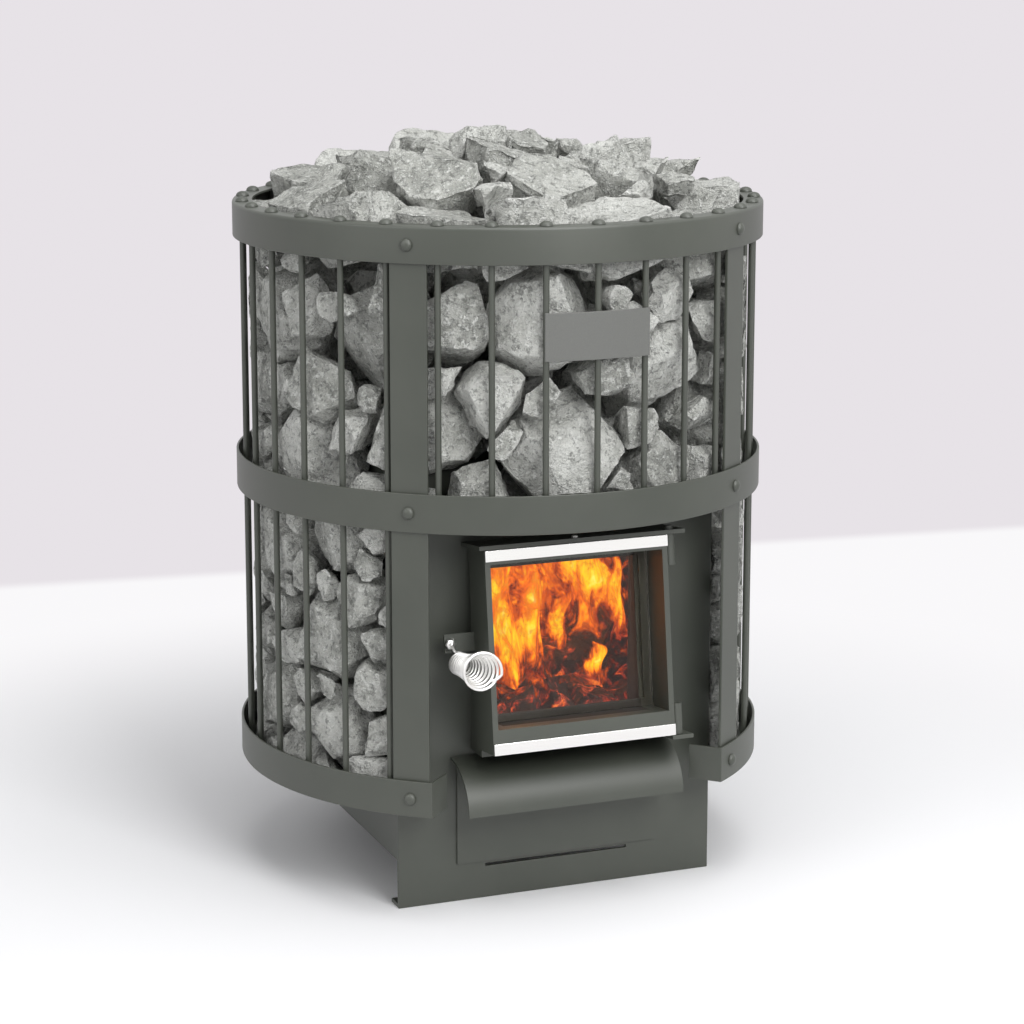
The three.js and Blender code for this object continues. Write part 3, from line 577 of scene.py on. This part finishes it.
rivet_seat = 0.0003
rivet_heights = [
    (top_ring_bottom + top_ring_top) / 2,
    (middle_ring_bottom + middle_ring_top) / 2,
    (bottom_ring_bottom + bottom_ring_top) / 2,
]
rivet_seats = []
for angle in post_angles:
    seat = plan_direction(angle) * (ring_radius + rivet_seat)
    rivet_seats += [(*seat, height) for height in rivet_heights]
rivet_spots = bpy.data.meshes.new("rivet_spots")
rivet_spots.from_pydata(rivet_seats, [], [])
riveting = Pattern("ring_rivets", Head_Radius=0.006, Head_Height=0.004)
rivet_head = riveting.domed_head(riveting.size("Head Radius"), riveting.size("Head Height"))
outward = riveting.node(
    "ShaderNodeVectorMath",
    {"operation": "MULTIPLY"},
    {0: riveting.node("GeometryNodeInputPosition"), 1: (1, 1, 0)},
)
rivet_turn = riveting.node("FunctionNodeAlignRotationToVector", {"axis": "Z"}, {"Vector": outward})
rivets = riveting.node(
    "GeometryNodeInstanceOnPoints",
    {},
    {"Points": riveting.size("Geometry"), "Instance": rivet_head, "Rotation": rivet_turn},
)
rivet_mesh = riveting.made("ring_rivets", rivets, heat_paint, rivet_spots)
add_piece("ring_rivets", rivet_mesh, heat_paint, "stove")


# Rods: 6 mm round bars that keep the stones in. They stand on the bottom ring's flange, or on the shelf
# over the door and over the flue outlet, and are headed over above the top ring's flange.
rod_count = 32
caging = Pattern(
    "basket_rods",
    Rod_Count=rod_count,
    Circle_Radius=0.2545,
    Rod_Radius=0.003,
    Rod_Top=0.6703,
    Long_Foot=0.1108,
    Short_Foot=0.3893,
    Front_Short_Rods=7,
    Rear_Short_Rods=3,
    Head_Radius=0.0065,
    Head_Height=0.0045,
)
rod_number = caging.node("GeometryNodeInputIndex")
from_front = rod_number.smaller(caging.size("Rod Count") - rod_number)
from_rear = caging.size("Rod Count") / 2 - from_front
over_door = 2 * from_front < caging.size("Front Short Rods")
over_flue = 2 * from_rear < caging.size("Rear Short Rods")
foot_rise = caging.size("Short Foot") - caging.size("Long Foot")
rod_foot = caging.size("Long Foot") + over_door.larger(over_flue) * foot_rise
rod_length = caging.size("Rod Top") - rod_foot
rod_circle = caging.node(
    "GeometryNodeMeshCircle",
    {},
    {"Vertices": caging.size("Rod Count"), "Radius": caging.size("Circle Radius")},
)
front_first = caging.node(
    "GeometryNodeTransform", {}, {"Geometry": rod_circle, "Rotation": (0, 0, -math.pi / 2)}
)
rod_middles = caging.node(
    "GeometryNodeSetPosition",
    {},
    {"Geometry": front_first, "Offset": caging.vector(0, 0, rod_foot + rod_length / 2)},
)
rod_tops = caging.node(
    "GeometryNodeSetPosition",
    {},
    {"Geometry": front_first, "Offset": caging.vector(0, 0, caging.size("Rod Top"))},
)
bar = caging.node(
    "GeometryNodeMeshCylinder", {}, {"Vertices": 20, "Radius": caging.size("Rod Radius"), "Depth": 1.0}
)
bars = caging.node(
    "GeometryNodeInstanceOnPoints",
    {},
    {"Points": rod_middles, "Instance": bar, "Scale": caging.vector(1, 1, rod_length)},
)
rod_head = caging.domed_head(caging.size("Head Radius"), caging.size("Head Height"))
heads = caging.node("GeometryNodeInstanceOnPoints", {}, {"Points": rod_tops, "Instance": rod_head})
cage = caging.tree.nodes.new("GeometryNodeJoinGeometry")
for part in (bars, heads):
    caging.feed(cage.inputs[0], part)
rod_mesh = caging.made("basket_rods", Signal(caging, cage.outputs[0]), heat_paint)
rod_nodes = [f"rod_{number:02d}" for number in range(1, rod_count + 1)]
add_piece("basket_rods", rod_mesh, heat_paint, "stove", *rod_nodes)


# Bare plate: a strip of painted sheet bent to the basket's curve and fixed to the front rods.
# It carries no words.
plate_finish = Finish("plate_metal")
plate_grain = plate_finish.cloud(900, detail=3)
plate_tone = plate_finish.blend(plate_grain, (0.105, 0.107, 0.10), (0.14, 0.143, 0.134))
plate_finish.paint("Base Color", plate_tone)
plate_finish.paint("Roughness", 0.34 + 0.12 * plate_grain)
plate_finish.rough(plate_grain, 0.15, 0.0004)
plate_outer = 0.2598
plate_thickness = 0.002
plate_half_angle = math.degrees(0.053 / plate_outer)
plate_bottom, plate_top = 0.5455, 0.5905
plate_path = arc_path(plate_outer, -plate_half_angle, plate_half_angle, 24)
plate_section = strip_section(0, plate_thickness, plate_bottom, plate_top)
plate_mesh = swept("bare_plate", plate_path, plate_section)
ease_edges(add_piece("bare_plate", plate_mesh, plate_finish, "stove", "nameplate"), 0.0006)


# Heating stones: broken grey igneous rock, up to 120 mm across, piled by hand round and over the firebox.
# Fresh breaks are pale and speckled, edges are crushed white, and each stone has its own shade.
rock = Finish("rock")
stone_tone = rock.node("ShaderNodeAttribute", {"attribute_name": "stone_tone"}, output="Fac")
stone_wear = rock.node("ShaderNodeAttribute", {"attribute_name": "stone_wear"}, output="Fac")
mottle = rock.cloud(34, detail=8, roughness=0.7, distortion=0.5)
crystals = rock.cloud(520, detail=3, roughness=0.65)
flecks = rock.step(rock.cloud(190, detail=3, roughness=0.75), 0.50, 0.62)
dark_flecks = rock.step(rock.cloud(150, detail=3, roughness=0.75), 0.52, 0.64)
shade = mottle * 0.9 + crystals * 0.35 + stone_tone * 0.25
body_colour = rock.ramp(
    rock.step(shade, 0.42, 1.02),
    (0.0, (0.20, 0.206, 0.188)),
    (0.45, (0.46, 0.466, 0.432)),
    (1.0, (0.74, 0.746, 0.706)),
)
crushed = rock.blend(stone_wear * (mottle + 0.25), body_colour, (0.84, 0.845, 0.81))
pale = rock.blend(flecks * 0.6, crushed, (0.90, 0.91, 0.87))
rock.paint("Base Color", rock.blend(dark_flecks * 0.6, pale, (0.11, 0.115, 0.104)))
rock.paint("Roughness", 0.8 + 0.15 * crystals)
rock.rough(mottle * 2.4 + crystals * 0.7 + flecks * 0.3, 1.0, 0.005)

draw = np.random.default_rng(20260)
basket_inside = 0.2500
flange_inside = 0.2425
firebox_half_width = 0.1655
firebox_half_depth = 0.1585
firebox_roof = 0.4325
shelf_level = 0.3895
floor_level = 0.1145
rim_bottom = top_ring_top - ring_wall
heap_edge = 0.668
heap_rise = 0.060
heap_radius = 0.24
heap_limit = 0.742
largest_on_top = 0.046
lump_height = 0.0027
splinter_height = 0.0042
grit_height = 0.0008
surface_drop = 0.0014
chip_in_heap = 0.82
chip_in_wall = 0.66
widest_gap = 0.003
most_joint_lean = 0.4
upright = np.array([0, 0, 1.0])


def unit(vector):
    return vector / np.linalg.norm(vector)


def unit_vectors(count):
    return np.array([unit(vector) for vector in draw.normal(size=(count, 3))])


def tilted(direction, most):
    """A direction turned aside by up to a share of its length."""
    return unit(unit(direction) + most * draw.uniform(-1, 1, 3))


def plane_at(point, normal):
    """The plane through a point, as an outward normal and a distance from the origin."""
    normal = unit(np.asarray(normal, float))
    return normal, float(normal @ np.asarray(point, float))


def corners_of(planes):
    """Corners of the convex body on the inner side of all the planes."""
    normals = np.array([normal for normal, _ in planes])
    distances = np.array([distance for _, distance in planes])
    triples = np.array(list(combinations(range(len(planes)), 3)))
    systems = normals[triples]
    solvable = np.abs(np.linalg.det(systems)) > 1e-3
    spots = np.linalg.solve(systems[solvable], distances[triples[solvable]][..., None])[..., 0]
    inside = (spots @ normals.T <= distances + 1e-7).all(axis=1)
    return spots[inside]


def chipped(planes, chips, least_left):
    """Corners of a stone after some of its corners are knocked off, each to a share of its reach."""
    corners = corners_of(planes)
    for _ in range(chips):
        if len(corners) < 6:
            break
        planes = [plane for plane in planes if (corners @ plane[0]).max() > plane[1] - 1e-6]
        middle = corners.mean(axis=0)
        direction = tilted(corners[draw.integers(len(corners))] - middle, 0.4)
        reach = ((corners - middle) @ direction).max()
        planes.append((direction, direction @ middle + reach * draw.uniform(least_left, 0.96)))
        corners = corners_of(planes)
    return corners


def block_faces(centre, size, lying):
    """Faces of a broken block: three pairs of rough breaks, and a few across its corners."""
    third = tilted(upright, 0.4) if lying else unit_vectors(1)[0]
    first = unit(np.cross(third, unit_vectors(1)[0]))
    faces = []
    for axis, share in ((first, 1.2), (np.cross(third, first), 0.95), (third, 0.5 if lying else 0.75)):
        for way in (-axis, axis):
            faces.append(plane_at(centre + way * size * share * draw.uniform(0.85, 1.1), tilted(way, 0.22)))
    for direction in unit_vectors(4):
        faces.append((direction, direction @ centre + size * draw.uniform(0.9, 1.12)))
    return faces


def packed_centres(inside, settled, sizes, tries, spread):
    """Centres thrown into a space, large stones first, and kept where they don't crowd the others."""
    small, large = sizes
    low, high = np.array(spread)
    kept = []
    for attempt in range(tries):
        size = large - (large - small) * (attempt / tries) ** 0.5
        centre = settled(low + (high - low) * draw.random(3), size)
        if not inside(centre, size):
            continue
        if all(np.linalg.norm(centre - other) > 0.8 * (size + reach) for other, reach in kept):
            kept.append((centre, size))
    return kept


def convexity(vertex):
    """How far a corner stands out from its neighbours: 0 on a flat face."""
    ways = [(edge.other_vert(vertex).co - vertex.co).normalized() for edge in vertex.link_edges]
    return -sum(way.dot(vertex.normal) for way in ways) / len(ways)


def stone_edge(spot):
    """Short edges where the rods or the rim show the stones, long ones deep in the heap."""
    behind_rods = math.hypot(spot.x, spot.y) > basket_inside - 0.045
    over_rim = spot.z > top_ring_top - 0.03
    return 0.0075 if behind_rods or over_rim else 0.03


def add_stone(work, layers, corners, tone, longest_edge):
    """A stone's hull with worn edges and a rough, broken surface, added to a bed."""
    rough = bmesh.new()
    for corner in corners:
        rough.verts.new(corner)
    bmesh.ops.remove_doubles(rough, verts=rough.verts, dist=0.003)
    bmesh.ops.convex_hull(rough, input=rough.verts)
    inner = [vertex for vertex in rough.verts if not vertex.link_faces]
    bmesh.ops.delete(rough, geom=inner, context="VERTS")
    bmesh.ops.dissolve_limit(rough, angle_limit=math.radians(4), verts=rough.verts, edges=rough.edges)
    bmesh.ops.bevel(
        rough,
        geom=list(rough.edges),
        offset=draw.uniform(0.0007, 0.0018),
        segments=2,
        profile=0.55,
        affect="EDGES",
        clamp_overlap=True,
    )
    bmesh.ops.remove_doubles(rough, verts=rough.verts, dist=0.0003)
    bmesh.ops.dissolve_degenerate(rough, edges=rough.edges, dist=0.0003)
    bmesh.ops.triangulate(rough, faces=rough.faces)
    for _ in range(5):
        long_edges = []
        for edge in rough.edges:
            first, second = edge.verts
            if edge.calc_length() > longest_edge((first.co + second.co) / 2):
                long_edges.append(edge)
        if not long_edges:
            break
        bmesh.ops.subdivide_edges(rough, edges=long_edges, cuts=1)
        bmesh.ops.triangulate(rough, faces=rough.faces)
    rough.normal_update()
    wear = [min(1.0, max(0.0, 4 * convexity(vertex))) for vertex in rough.verts]
    moves = []
    for vertex in rough.verts:
        spot = vertex.co
        lumps = lump_height * noise.fractal(spot * 26, 0.9, 2.1, 3)
        nearest, second, *_ = noise.voronoi(spot * 48)[0]
        splinters = splinter_height * (min(second - nearest, 0.5) - 0.25)
        grit = grit_height * noise.fractal(spot * 150, 0.8, 2.2, 2)
        moves.append(vertex.normal * (lumps + splinters + grit - surface_drop))
    for vertex, move in zip(rough.verts, moves):
        vertex.co += move
    stone = bpy.data.meshes.new("stone")
    rough.to_mesh(stone)
    rough.free()
    stone.validate()
    first = len(work.verts)
    work.from_mesh(stone)
    work.verts.ensure_lookup_table()
    tone_layer, wear_layer = layers
    for vertex, share in zip(work.verts[first:], wear):
        vertex[tone_layer] = tone
        vertex[wear_layer] = share
    bpy.data.meshes.remove(stone)


def new_bed():
    """An empty heap, with the values that its stones keep for their shade and their worn edges."""
    work = bmesh.new()
    for name in ("stone_tone", "stone_wear"):
        work.verts.layers.float.new(name)
    return work, [work.verts.layers.float[name] for name in ("stone_tone", "stone_wear")]


def stone_bed(names, piece_of, centres, limits, replaced):
    """Stones that lap over each other within their bed's limits, shared out over the bed's pieces."""
    beds = {name: new_bed() for name in names}
    leans = most_joint_lean * draw.uniform(-1, 1, (len(centres), len(centres), 3))
    for index, (centre, size) in enumerate(centres):
        planes = limits(centre, size) + block_faces(centre, size, centre[2] > top_ring_bottom)
        for other, (neighbour, reach) in enumerate(centres):
            apart = neighbour - centre
            distance = np.linalg.norm(apart)
            if other == index or distance > 1.25 * (size + reach):
                continue
            share = 0.5 + 0.5 * (size**2 - reach**2) / distance**2
            clearance = draw.uniform(0.0, widest_gap) / distance
            lean = leans[index, other] if index < other else -leans[other, index]
            joint = centre + apart * (share - clearance)
            planes.append(plane_at(joint, tilted(unit(apart) + lean, 0.06)))
        in_heap = centre[2] > top_ring_bottom
        corners = chipped(planes, int(draw.integers(4, 9)), chip_in_heap if in_heap else chip_in_wall)
        if len(corners) > 5:
            add_stone(*beds[piece_of(centre)], corners, draw.random(), stone_edge)
    for name, (work, _) in beds.items():
        add_piece(name, mesh_from(work, name, math.radians(38)), rock, "stove", replaced)


def round_limits(centre, radius):
    """Planes that keep a stone inside the basket."""
    angle = math.atan2(centre[1], centre[0])
    half_step = math.radians(7)
    planes = []
    for steps in range(-3, 4):
        heading = angle + 2 * half_step * steps
        planes.append((np.array([math.cos(heading), math.sin(heading), 0]), radius * math.cos(half_step)))
    return planes


def pushed_out(centre, size):
    """A stone's centre moved out to where it leans on the rods."""
    radius = math.hypot(centre[0], centre[1])
    aim = (basket_inside - 0.8 * size) / radius
    return np.array([centre[0] * aim, centre[1] * aim, centre[2]])


def heap_height(centre):
    from_axis = math.hypot(centre[0], centre[1])
    return heap_edge + heap_rise * (1 - (from_axis / heap_radius) ** 2)


def over_firebox(centre):
    return abs(centre[0]) < firebox_half_width and abs(centre[1]) < firebox_half_depth


def upper_inside(centre, size):
    bottom = firebox_roof if over_firebox(centre) else shelf_level
    if math.hypot(centre[0], centre[1]) > basket_inside - 0.75 * size:
        return False
    return bottom + 0.6 * size < centre[2] < heap_height(centre) - 0.4 * size


def upper_settled(centre, size):
    way = draw.random()
    if way < 0.45:
        return pushed_out(centre, size)
    if way < 0.8 and size < largest_on_top:
        centre[2] = heap_height(centre) - 0.45 * size
    return centre


def upper_limits(centre, size):
    outermost = math.hypot(centre[0], centre[1]) > flange_inside - size
    under_rim = outermost and centre[2] < rim_bottom - 0.4 * size
    at_rim = centre[2] + 1.3 * size > rim_bottom and not under_rim
    planes = round_limits(centre, flange_inside if at_rim else basket_inside)
    if under_rim:
        planes.append(plane_at((0, 0, rim_bottom), upright))
    low_beside = not over_firebox(centre) and centre[2] <= firebox_roof + 0.0275
    planes.append(plane_at((0, 0, shelf_level if low_beside else firebox_roof), -upright))
    if low_beside:
        aside = abs(centre[0]) - firebox_half_width > abs(centre[1]) - firebox_half_depth
        normal = np.array([-np.sign(centre[0]), 0, 0]) if aside else np.array([0, -np.sign(centre[1]), 0])
        planes.append((normal, -firebox_half_width if aside else -firebox_half_depth))
    crest = min(heap_height(centre) + 0.3 * size, heap_limit)
    planes.append(plane_at((centre[0], centre[1], crest), tilted(upright, 0.2)))
    planes.append(plane_at((0, 0, heap_limit), upright))
    return planes


def upper_piece(centre):
    if centre[2] > top_ring_bottom:
        return "stones_heaped"
    return "stones_front" if centre[1] < 0 else "stones_rear"


reach = basket_inside
upper_space = ((-reach, -reach, shelf_level), (reach, reach, heap_limit))
upper_centres = packed_centres(upper_inside, upper_settled, (0.017, 0.060), 22000, upper_space)
upper_pieces = ("stones_heaped", "stones_front", "stones_rear")
stone_bed(upper_pieces, upper_piece, upper_centres, upper_limits, "stones_upper")

flue_half_width = 0.075
foremost_beside = -0.19


def side_inside(side):
    def inside(centre, size):
        beside = centre[0] * side - firebox_half_width > 0.5 * size and centre[1] > foremost_beside
        clear_of_flue = centre[0] * side > flue_half_width + 0.5 * size
        behind = centre[1] - firebox_half_depth > 0.5 * size and clear_of_flue
        fits = math.hypot(centre[0], centre[1]) < basket_inside - 0.7 * size
        in_height = floor_level + 0.6 * size < centre[2] < shelf_level - 0.5 * size
        return fits and in_height and (beside or behind)

    return inside


def side_settled(centre, size):
    return pushed_out(centre, size) if draw.random() < 0.7 else centre


def side_limits(side):
    def limits(centre, size):
        planes = round_limits(centre, basket_inside)
        planes.append(plane_at((0, 0, floor_level), -upright))
        planes.append(plane_at((0, 0, shelf_level), upright))
        planes.append(plane_at((side * flue_half_width, 0, 0), (-side, 0, 0)))
        if centre[0] * side > firebox_half_width:
            planes.append(plane_at((side * firebox_half_width, 0, 0), (-side, 0, 0)))
        else:
            planes.append(plane_at((0, firebox_half_depth, 0), (0, -1, 0)))
        return planes

    return limits


for side, label in ((-1, "left"), (1, "right")):
    inner, outer = sorted((side * 0.07, side * reach))
    side_space = ((inner, -0.2, floor_level), (outer, reach, shelf_level))
    side_centres = packed_centres(side_inside(side), side_settled, (0.014, 0.054), 16000, side_space)
    piece = f"stones_beside_{label}"
    stone_bed((piece,), lambda centre: piece, side_centres, side_limits(side), f"stones_{label}")


# Fire: split logs burn on a bed of embers over the grate. They are charred black, and glow in their cracks.
charcoal = Finish("charcoal", fills_slot=False, Roughness=0.9, Emission_Strength=1.0)
char_lumps = charcoal.cloud(55, detail=5, roughness=0.65)
char_cracks = charcoal.cloud(60, detail=4, roughness=0.6, distortion=1.2)
glow_heat = charcoal.step(char_cracks, 0.47, 0.7)
charcoal.paint("Base Color", charcoal.blend(char_lumps, (0.012, 0.01, 0.009), (0.05, 0.042, 0.036)))
charcoal.paint(
    "Emission Color",
    charcoal.ramp(
        glow_heat,
        (0.0, (0.003, 0.0, 0.0)),
        (0.4, (0.09, 0.006, 0.002)),
        (0.8, (0.45, 0.035, 0.01)),
        (1.0, (0.9, 0.2, 0.02)),
    ),
)
charcoal.rough(char_lumps + char_cracks, 0.8, 0.004)

hearth_top = 0.1582
ember_space = ((-0.14, -0.125, hearth_top), (0.14, 0.13, hearth_top + 0.03))
ember_spots = packed_centres(
    lambda centre, size: abs(centre[2] - hearth_top - 0.8 * size) < 0.006,
    lambda centre, size: centre,
    (0.010, 0.022),
    14000,
    ember_space,
)
embers, ember_layers = new_bed()
for centre, size in ember_spots:
    sides = [*block_faces(centre, size, False), plane_at((0, 0, hearth_top), -upright)]
    add_stone(embers, ember_layers, corners_of(sides), draw.random(), lambda spot: 0.009)
add_piece("embers", mesh_from(embers, "embers", math.radians(50)), charcoal, "stove")


def split_log(work, start, end, radius, rings=26, sides=28):
    """A split log between two points, with a knobbly, cracked surface and broken ends."""
    axis = (end - start).normalized()
    aside = axis.orthogonal().normalized()
    over = axis.cross(aside)
    rows = []
    for ring in range(rings + 1):
        spot = start.lerp(end, ring / rings)
        row = []
        for side in range(sides):
            angle = 2 * math.pi * side / sides
            outward = aside * math.cos(angle) + over * math.sin(angle)
            flat = 1 - 0.28 * max(0.0, math.cos(angle - 0.8)) ** 2
            lump = 0.16 * noise.fractal((spot + outward * radius) * 35, 0.8, 2.0, 4)
            row.append(work.verts.new(spot + outward * radius * (flat + lump)))
        rows.append(row)
    for first, second in zip(rows, rows[1:]):
        for side in range(sides):
            follower = (side + 1) % sides
            work.faces.new((first[side], first[follower], second[follower], second[side]))
    work.faces.new(list(reversed(rows[0])))
    work.faces.new(rows[-1])


logs = bmesh.new()
split_log(logs, Vector((-0.125, -0.005, 0.205)), Vector((0.128, -0.055, 0.2)), 0.027)
split_log(logs, Vector((-0.11, 0.075, 0.207)), Vector((0.12, 0.06, 0.212)), 0.029)
split_log(logs, Vector((0.105, -0.07, 0.225)), Vector((0.02, 0.105, 0.272)), 0.026)
bmesh.ops.recalc_face_normals(logs, faces=logs.faces)
add_piece("burning_logs", mesh_from(logs, "burning_logs"), charcoal, "stove")


# Flames: they rise from the logs in ragged tongues, pale yellow where they are hot and red at the edges.
# Each tongue is an open curved sheet that thins out to nothing, among three veils of smoke that glow with
# painted firelight.
flame = Finish("flame", fills_slot=False, Roughness=1.0, Emission_Strength=1.25)
flame.surface["Base Color"].default_value = (0, 0, 0, 1)
flame.surface["Specular IOR Level"].default_value = 0.0
own_heat = flame.node("ShaderNodeAttribute", {"attribute_name": "flame_heat"}, output="Fac")
licks = flame.cloud(48, detail=4, roughness=0.6, distortion=1.3, place=flame.stretched(1, 1, 0.4))
wisps = flame.cloud(120, detail=3, roughness=0.6, distortion=1.0, place=flame.stretched(1, 1, 0.35))
heat = own_heat + (licks - 0.5) * 1.6 + (wisps - 0.5) * 0.6
flame.paint(
    "Emission Color",
    flame.ramp(
        heat,
        (0.0, (0.06, 0.003, 0.0)),
        (0.2, (0.34, 0.028, 0.002)),
        (0.4, (0.85, 0.14, 0.004)),
        (0.6, (1.0, 0.36, 0.006)),
        (0.8, (1.0, 0.62, 0.012)),
        (1.0, (1.0, 0.84, 0.16)),
    ),
)
flame.paint("Alpha", flame.step(heat, 0.02, 0.55))

flames = bmesh.new()
flame_heat = flames.verts.layers.float.new("flame_heat")


def flame_sheet(columns, rows, point, warmth):
    """An open sheet over a grid of shares across and up, with its heat at each point."""
    grid = []
    for row in range(rows + 1):
        line = []
        for column in range(columns + 1):
            across, rise = column / columns, row / rows
            vertex = flames.verts.new(point(across, rise))
            vertex[flame_heat] = warmth(across, rise)
            line.append(vertex)
        grid.append(line)
    for lower, upper in zip(grid, grid[1:]):
        for column in range(columns):
            flames.faces.new((lower[column], lower[column + 1], upper[column + 1], upper[column]))


def flame_tongue(foot, height, width, lean, hottest):
    """A tongue that swells above its foot and wavers to a tip, hottest along its middle."""
    phase = draw.uniform(0, 2 * math.pi)

    def point(across, rise):
        half = 0.5 * width * (0.5 + 1.2 * rise) * (1 - rise) ** 0.75
        side = 2 * across - 1
        waver = 0.22 * width * math.sin(7 * rise + phase) * rise
        return foot + Vector((side * half + lean * rise**2 + waver, half * side**2, height * rise))

    def warmth(across, rise):
        across_heat = (1 - (2 * across - 1) ** 2) ** 0.7
        return hottest * across_heat * (1 - 0.5 * rise**2) * min(1, 2.5 * rise)

    flame_sheet(10, 24, point, warmth)


def painted_firelight_veil(depth, strongest):
    """A wavy veil across the fire that glows with painted firelight, bright above and towards the left,
    with painted shade at the right and low down.
    """

    def point(across, rise):
        x = -0.147 + 0.294 * across
        height = hearth_top + 0.03 + 0.2 * rise
        return Vector((x, depth + 0.012 * math.sin(40 * x + 60 * height), height))

    def warmth(across, rise):
        towards_right = max(0, min(1, (across - 0.62) / 0.3))
        return strongest * (0.35 + 0.65 * min(1, 1.6 * rise)) * (1 - 0.9 * towards_right)

    flame_sheet(48, 24, point, warmth)


# Three veils of smoke whose glow is painted firelight, with painted shade at their right and low down.
painted_firelight_veil(0.05, 0.55)
painted_firelight_veil(-0.035, 0.42)
painted_firelight_veil(-0.12, 0.22)
flame_tongue(Vector((-0.022, -0.09, 0.17)), 0.18, 0.075, -0.012, 0.85)
flame_tongue(Vector((0.006, -0.092, 0.19)), 0.14, 0.05, -0.02, 0.85)
flame_tongue(Vector((-0.03, -0.075, 0.22)), 0.125, 0.085, 0.0, 0.7)
flame_tongue(Vector((0.034, -0.085, 0.222)), 0.06, 0.034, 0.004, 0.8)
flame_tongue(Vector((0.082, -0.08, 0.245)), 0.105, 0.1, -0.02, 0.95)
flame_tongue(Vector((0.1, -0.085, 0.225)), 0.095, 0.034, -0.014, 0.75)
flame_tongue(Vector((0.07, -0.095, 0.19)), 0.04, 0.036, 0.0, 0.95)
add_piece("flames", mesh_from(flames, "flames"), flame, "stove")


# Studio: a pale floor that runs back to a pale wall, soft light, and a camera a little above the stove
# in front of its left corner. Far from the stove the floor shows its own colour, and near it the shadow.
def backdrop_rays(bench):
    """1 for rays that show the backdrop: from the camera, off metal and through glass."""
    kinds = ("Camera", "Glossy", "Transmission")
    camera_ray, glossy_ray, passed_ray = (
        bench.node("ShaderNodeLightPath", output=f"Is {kind} Ray") for kind in kinds
    )
    return camera_ray.larger(glossy_ray).larger(passed_ray)


wall_colour = (0.80, 0.765, 0.80)
wall_direction = (0.12945, 0.99159)
wall_distance = 1.2145
floor_finish = Finish("studio_floor", fills_slot=False, Roughness=0.8)
floor_patches = floor_finish.cloud(0.7, detail=2)
floor_finish.paint("Base Color", floor_finish.blend(floor_patches, (0.82, 0.82, 0.83), (0.86, 0.86, 0.87)))
floor_x = floor_finish.along("X")
floor_y = floor_finish.along("Y")
towards_wall = floor_x * wall_direction[0] + floor_y * wall_direction[1]
at_wall = floor_finish.step(towards_wall, wall_distance - 0.03, wall_distance + 0.03)
from_stove = (floor_x * floor_x + floor_y * floor_y) ** 0.5
far_off = floor_finish.step(from_stove, 0.45, 1.05)
far_colour = floor_finish.blend(at_wall, (0.95, 0.94, 0.955), wall_colour)
far_floor = floor_finish.node("ShaderNodeEmission", {}, {"Color": far_colour})
near_floor = Signal(floor_finish, floor_finish.tree.nodes["Principled BSDF"].outputs[0])
far_share = far_off * backdrop_rays(floor_finish)
whole_floor = floor_finish.node("ShaderNodeMixShader", {}, {0: far_share, 1: near_floor, 2: far_floor})
floor_finish.feed(floor_finish.tree.nodes["Material Output"].inputs["Surface"], whole_floor)
floor_reach = 40.0
floor_mesh = bpy.data.meshes.new("studio_floor")
floor_corners = [
    (-floor_reach, -floor_reach, 0),
    (floor_reach, -floor_reach, 0),
    (floor_reach, floor_reach, 0),
    (-floor_reach, floor_reach, 0),
]
floor_mesh.from_pydata(floor_corners, [], [(0, 1, 2, 3)])
floor_mesh.materials.append(floor_finish.material)
floor = bpy.data.objects.new("studio_floor", floor_mesh)
bpy.context.scene.collection.objects.link(floor)

world = bpy.data.worlds.new("studio")
world.use_nodes = True
bpy.context.scene.world = world
studio = Bench(world.node_tree)
seen_directly = studio.node("ShaderNodeLightPath", output="Is Camera Ray")
shown_colours = {0: seen_directly, 6: (1, 1, 1, 1), 7: (*wall_colour, 1)}
shown = studio.node("ShaderNodeMix", {"data_type": "RGBA"}, shown_colours, 2)
room_colours = {0: backdrop_rays(studio), 6: (0.42, 0.42, 0.43, 1), 7: shown}
studio.feed(
    world.node_tree.nodes["Background"].inputs["Color"],
    studio.node("ShaderNodeMix", {"data_type": "RGBA"}, room_colours, 2),
)


def softbox(name, place, aim, width, height, power):
    light = bpy.data.lights.new(name, "AREA")
    light.shape = "RECTANGLE"
    light.size = width
    light.size_y = height
    light.energy = power
    lamp = bpy.data.objects.new(name, light)
    bpy.context.scene.collection.objects.link(lamp)
    lamp.location = place
    lamp.rotation_euler = (Vector(aim) - Vector(place)).to_track_quat("-Z", "Y").to_euler()


softbox("overhead", (0.1, -0.7, 2.5), (0, 0, 0.4), 1.8, 1.8, 33)
softbox("from_front", (0.4, -2.8, 2.1), (0, 0, 0.5), 1.4, 1.4, 64)
softbox("from_right", (2.4, -0.5, 1.6), (0, 0, 0.4), 1.4, 1.8, 4)
softbox("from_left", (-2.5, -0.8, 1.8), (0, 0, 0.4), 1.6, 2.0, 18)
fire_light = bpy.data.lights.new("fire_light", "POINT")
fire_light.color = (1.0, 0.3, 0.06)
fire_light.energy = 1.2
fire_light.shadow_soft_size = 0.04
fire_lamp = bpy.data.objects.new("fire_light", fire_light)
bpy.context.scene.collection.objects.link(fire_lamp)
fire_lamp.location = (-0.02, -0.07, 0.28)
fire_lamp.visible_camera = False
fire_lamp.visible_glossy = False
fire_lamp.visible_transmission = False

camera_azimuth = math.radians(-21.25)
camera_turn = math.radians(-21.54)
camera_pitch = math.radians(11.32)
camera_distance = 2.80631
camera_height = 0.97356
focal_pixels = 2825
image_pixels = 1024
axis_pixel = 450.56
camera_data = bpy.data.cameras.new("camera")
camera_data.sensor_width = 36
camera_data.lens = focal_pixels / image_pixels * camera_data.sensor_width
camera_data.shift_y = (axis_pixel - image_pixels / 2) / image_pixels
camera = bpy.data.objects.new("camera", camera_data)
bpy.context.scene.collection.objects.link(camera)
camera.location = (
    camera_distance * math.sin(camera_azimuth),
    -camera_distance * math.cos(camera_azimuth),
    camera_height,
)
camera.rotation_euler = (math.pi / 2 - camera_pitch, 0, camera_turn)
bpy.context.scene.camera = camera
bpy.context.scene.view_settings.view_transform = "Standard"
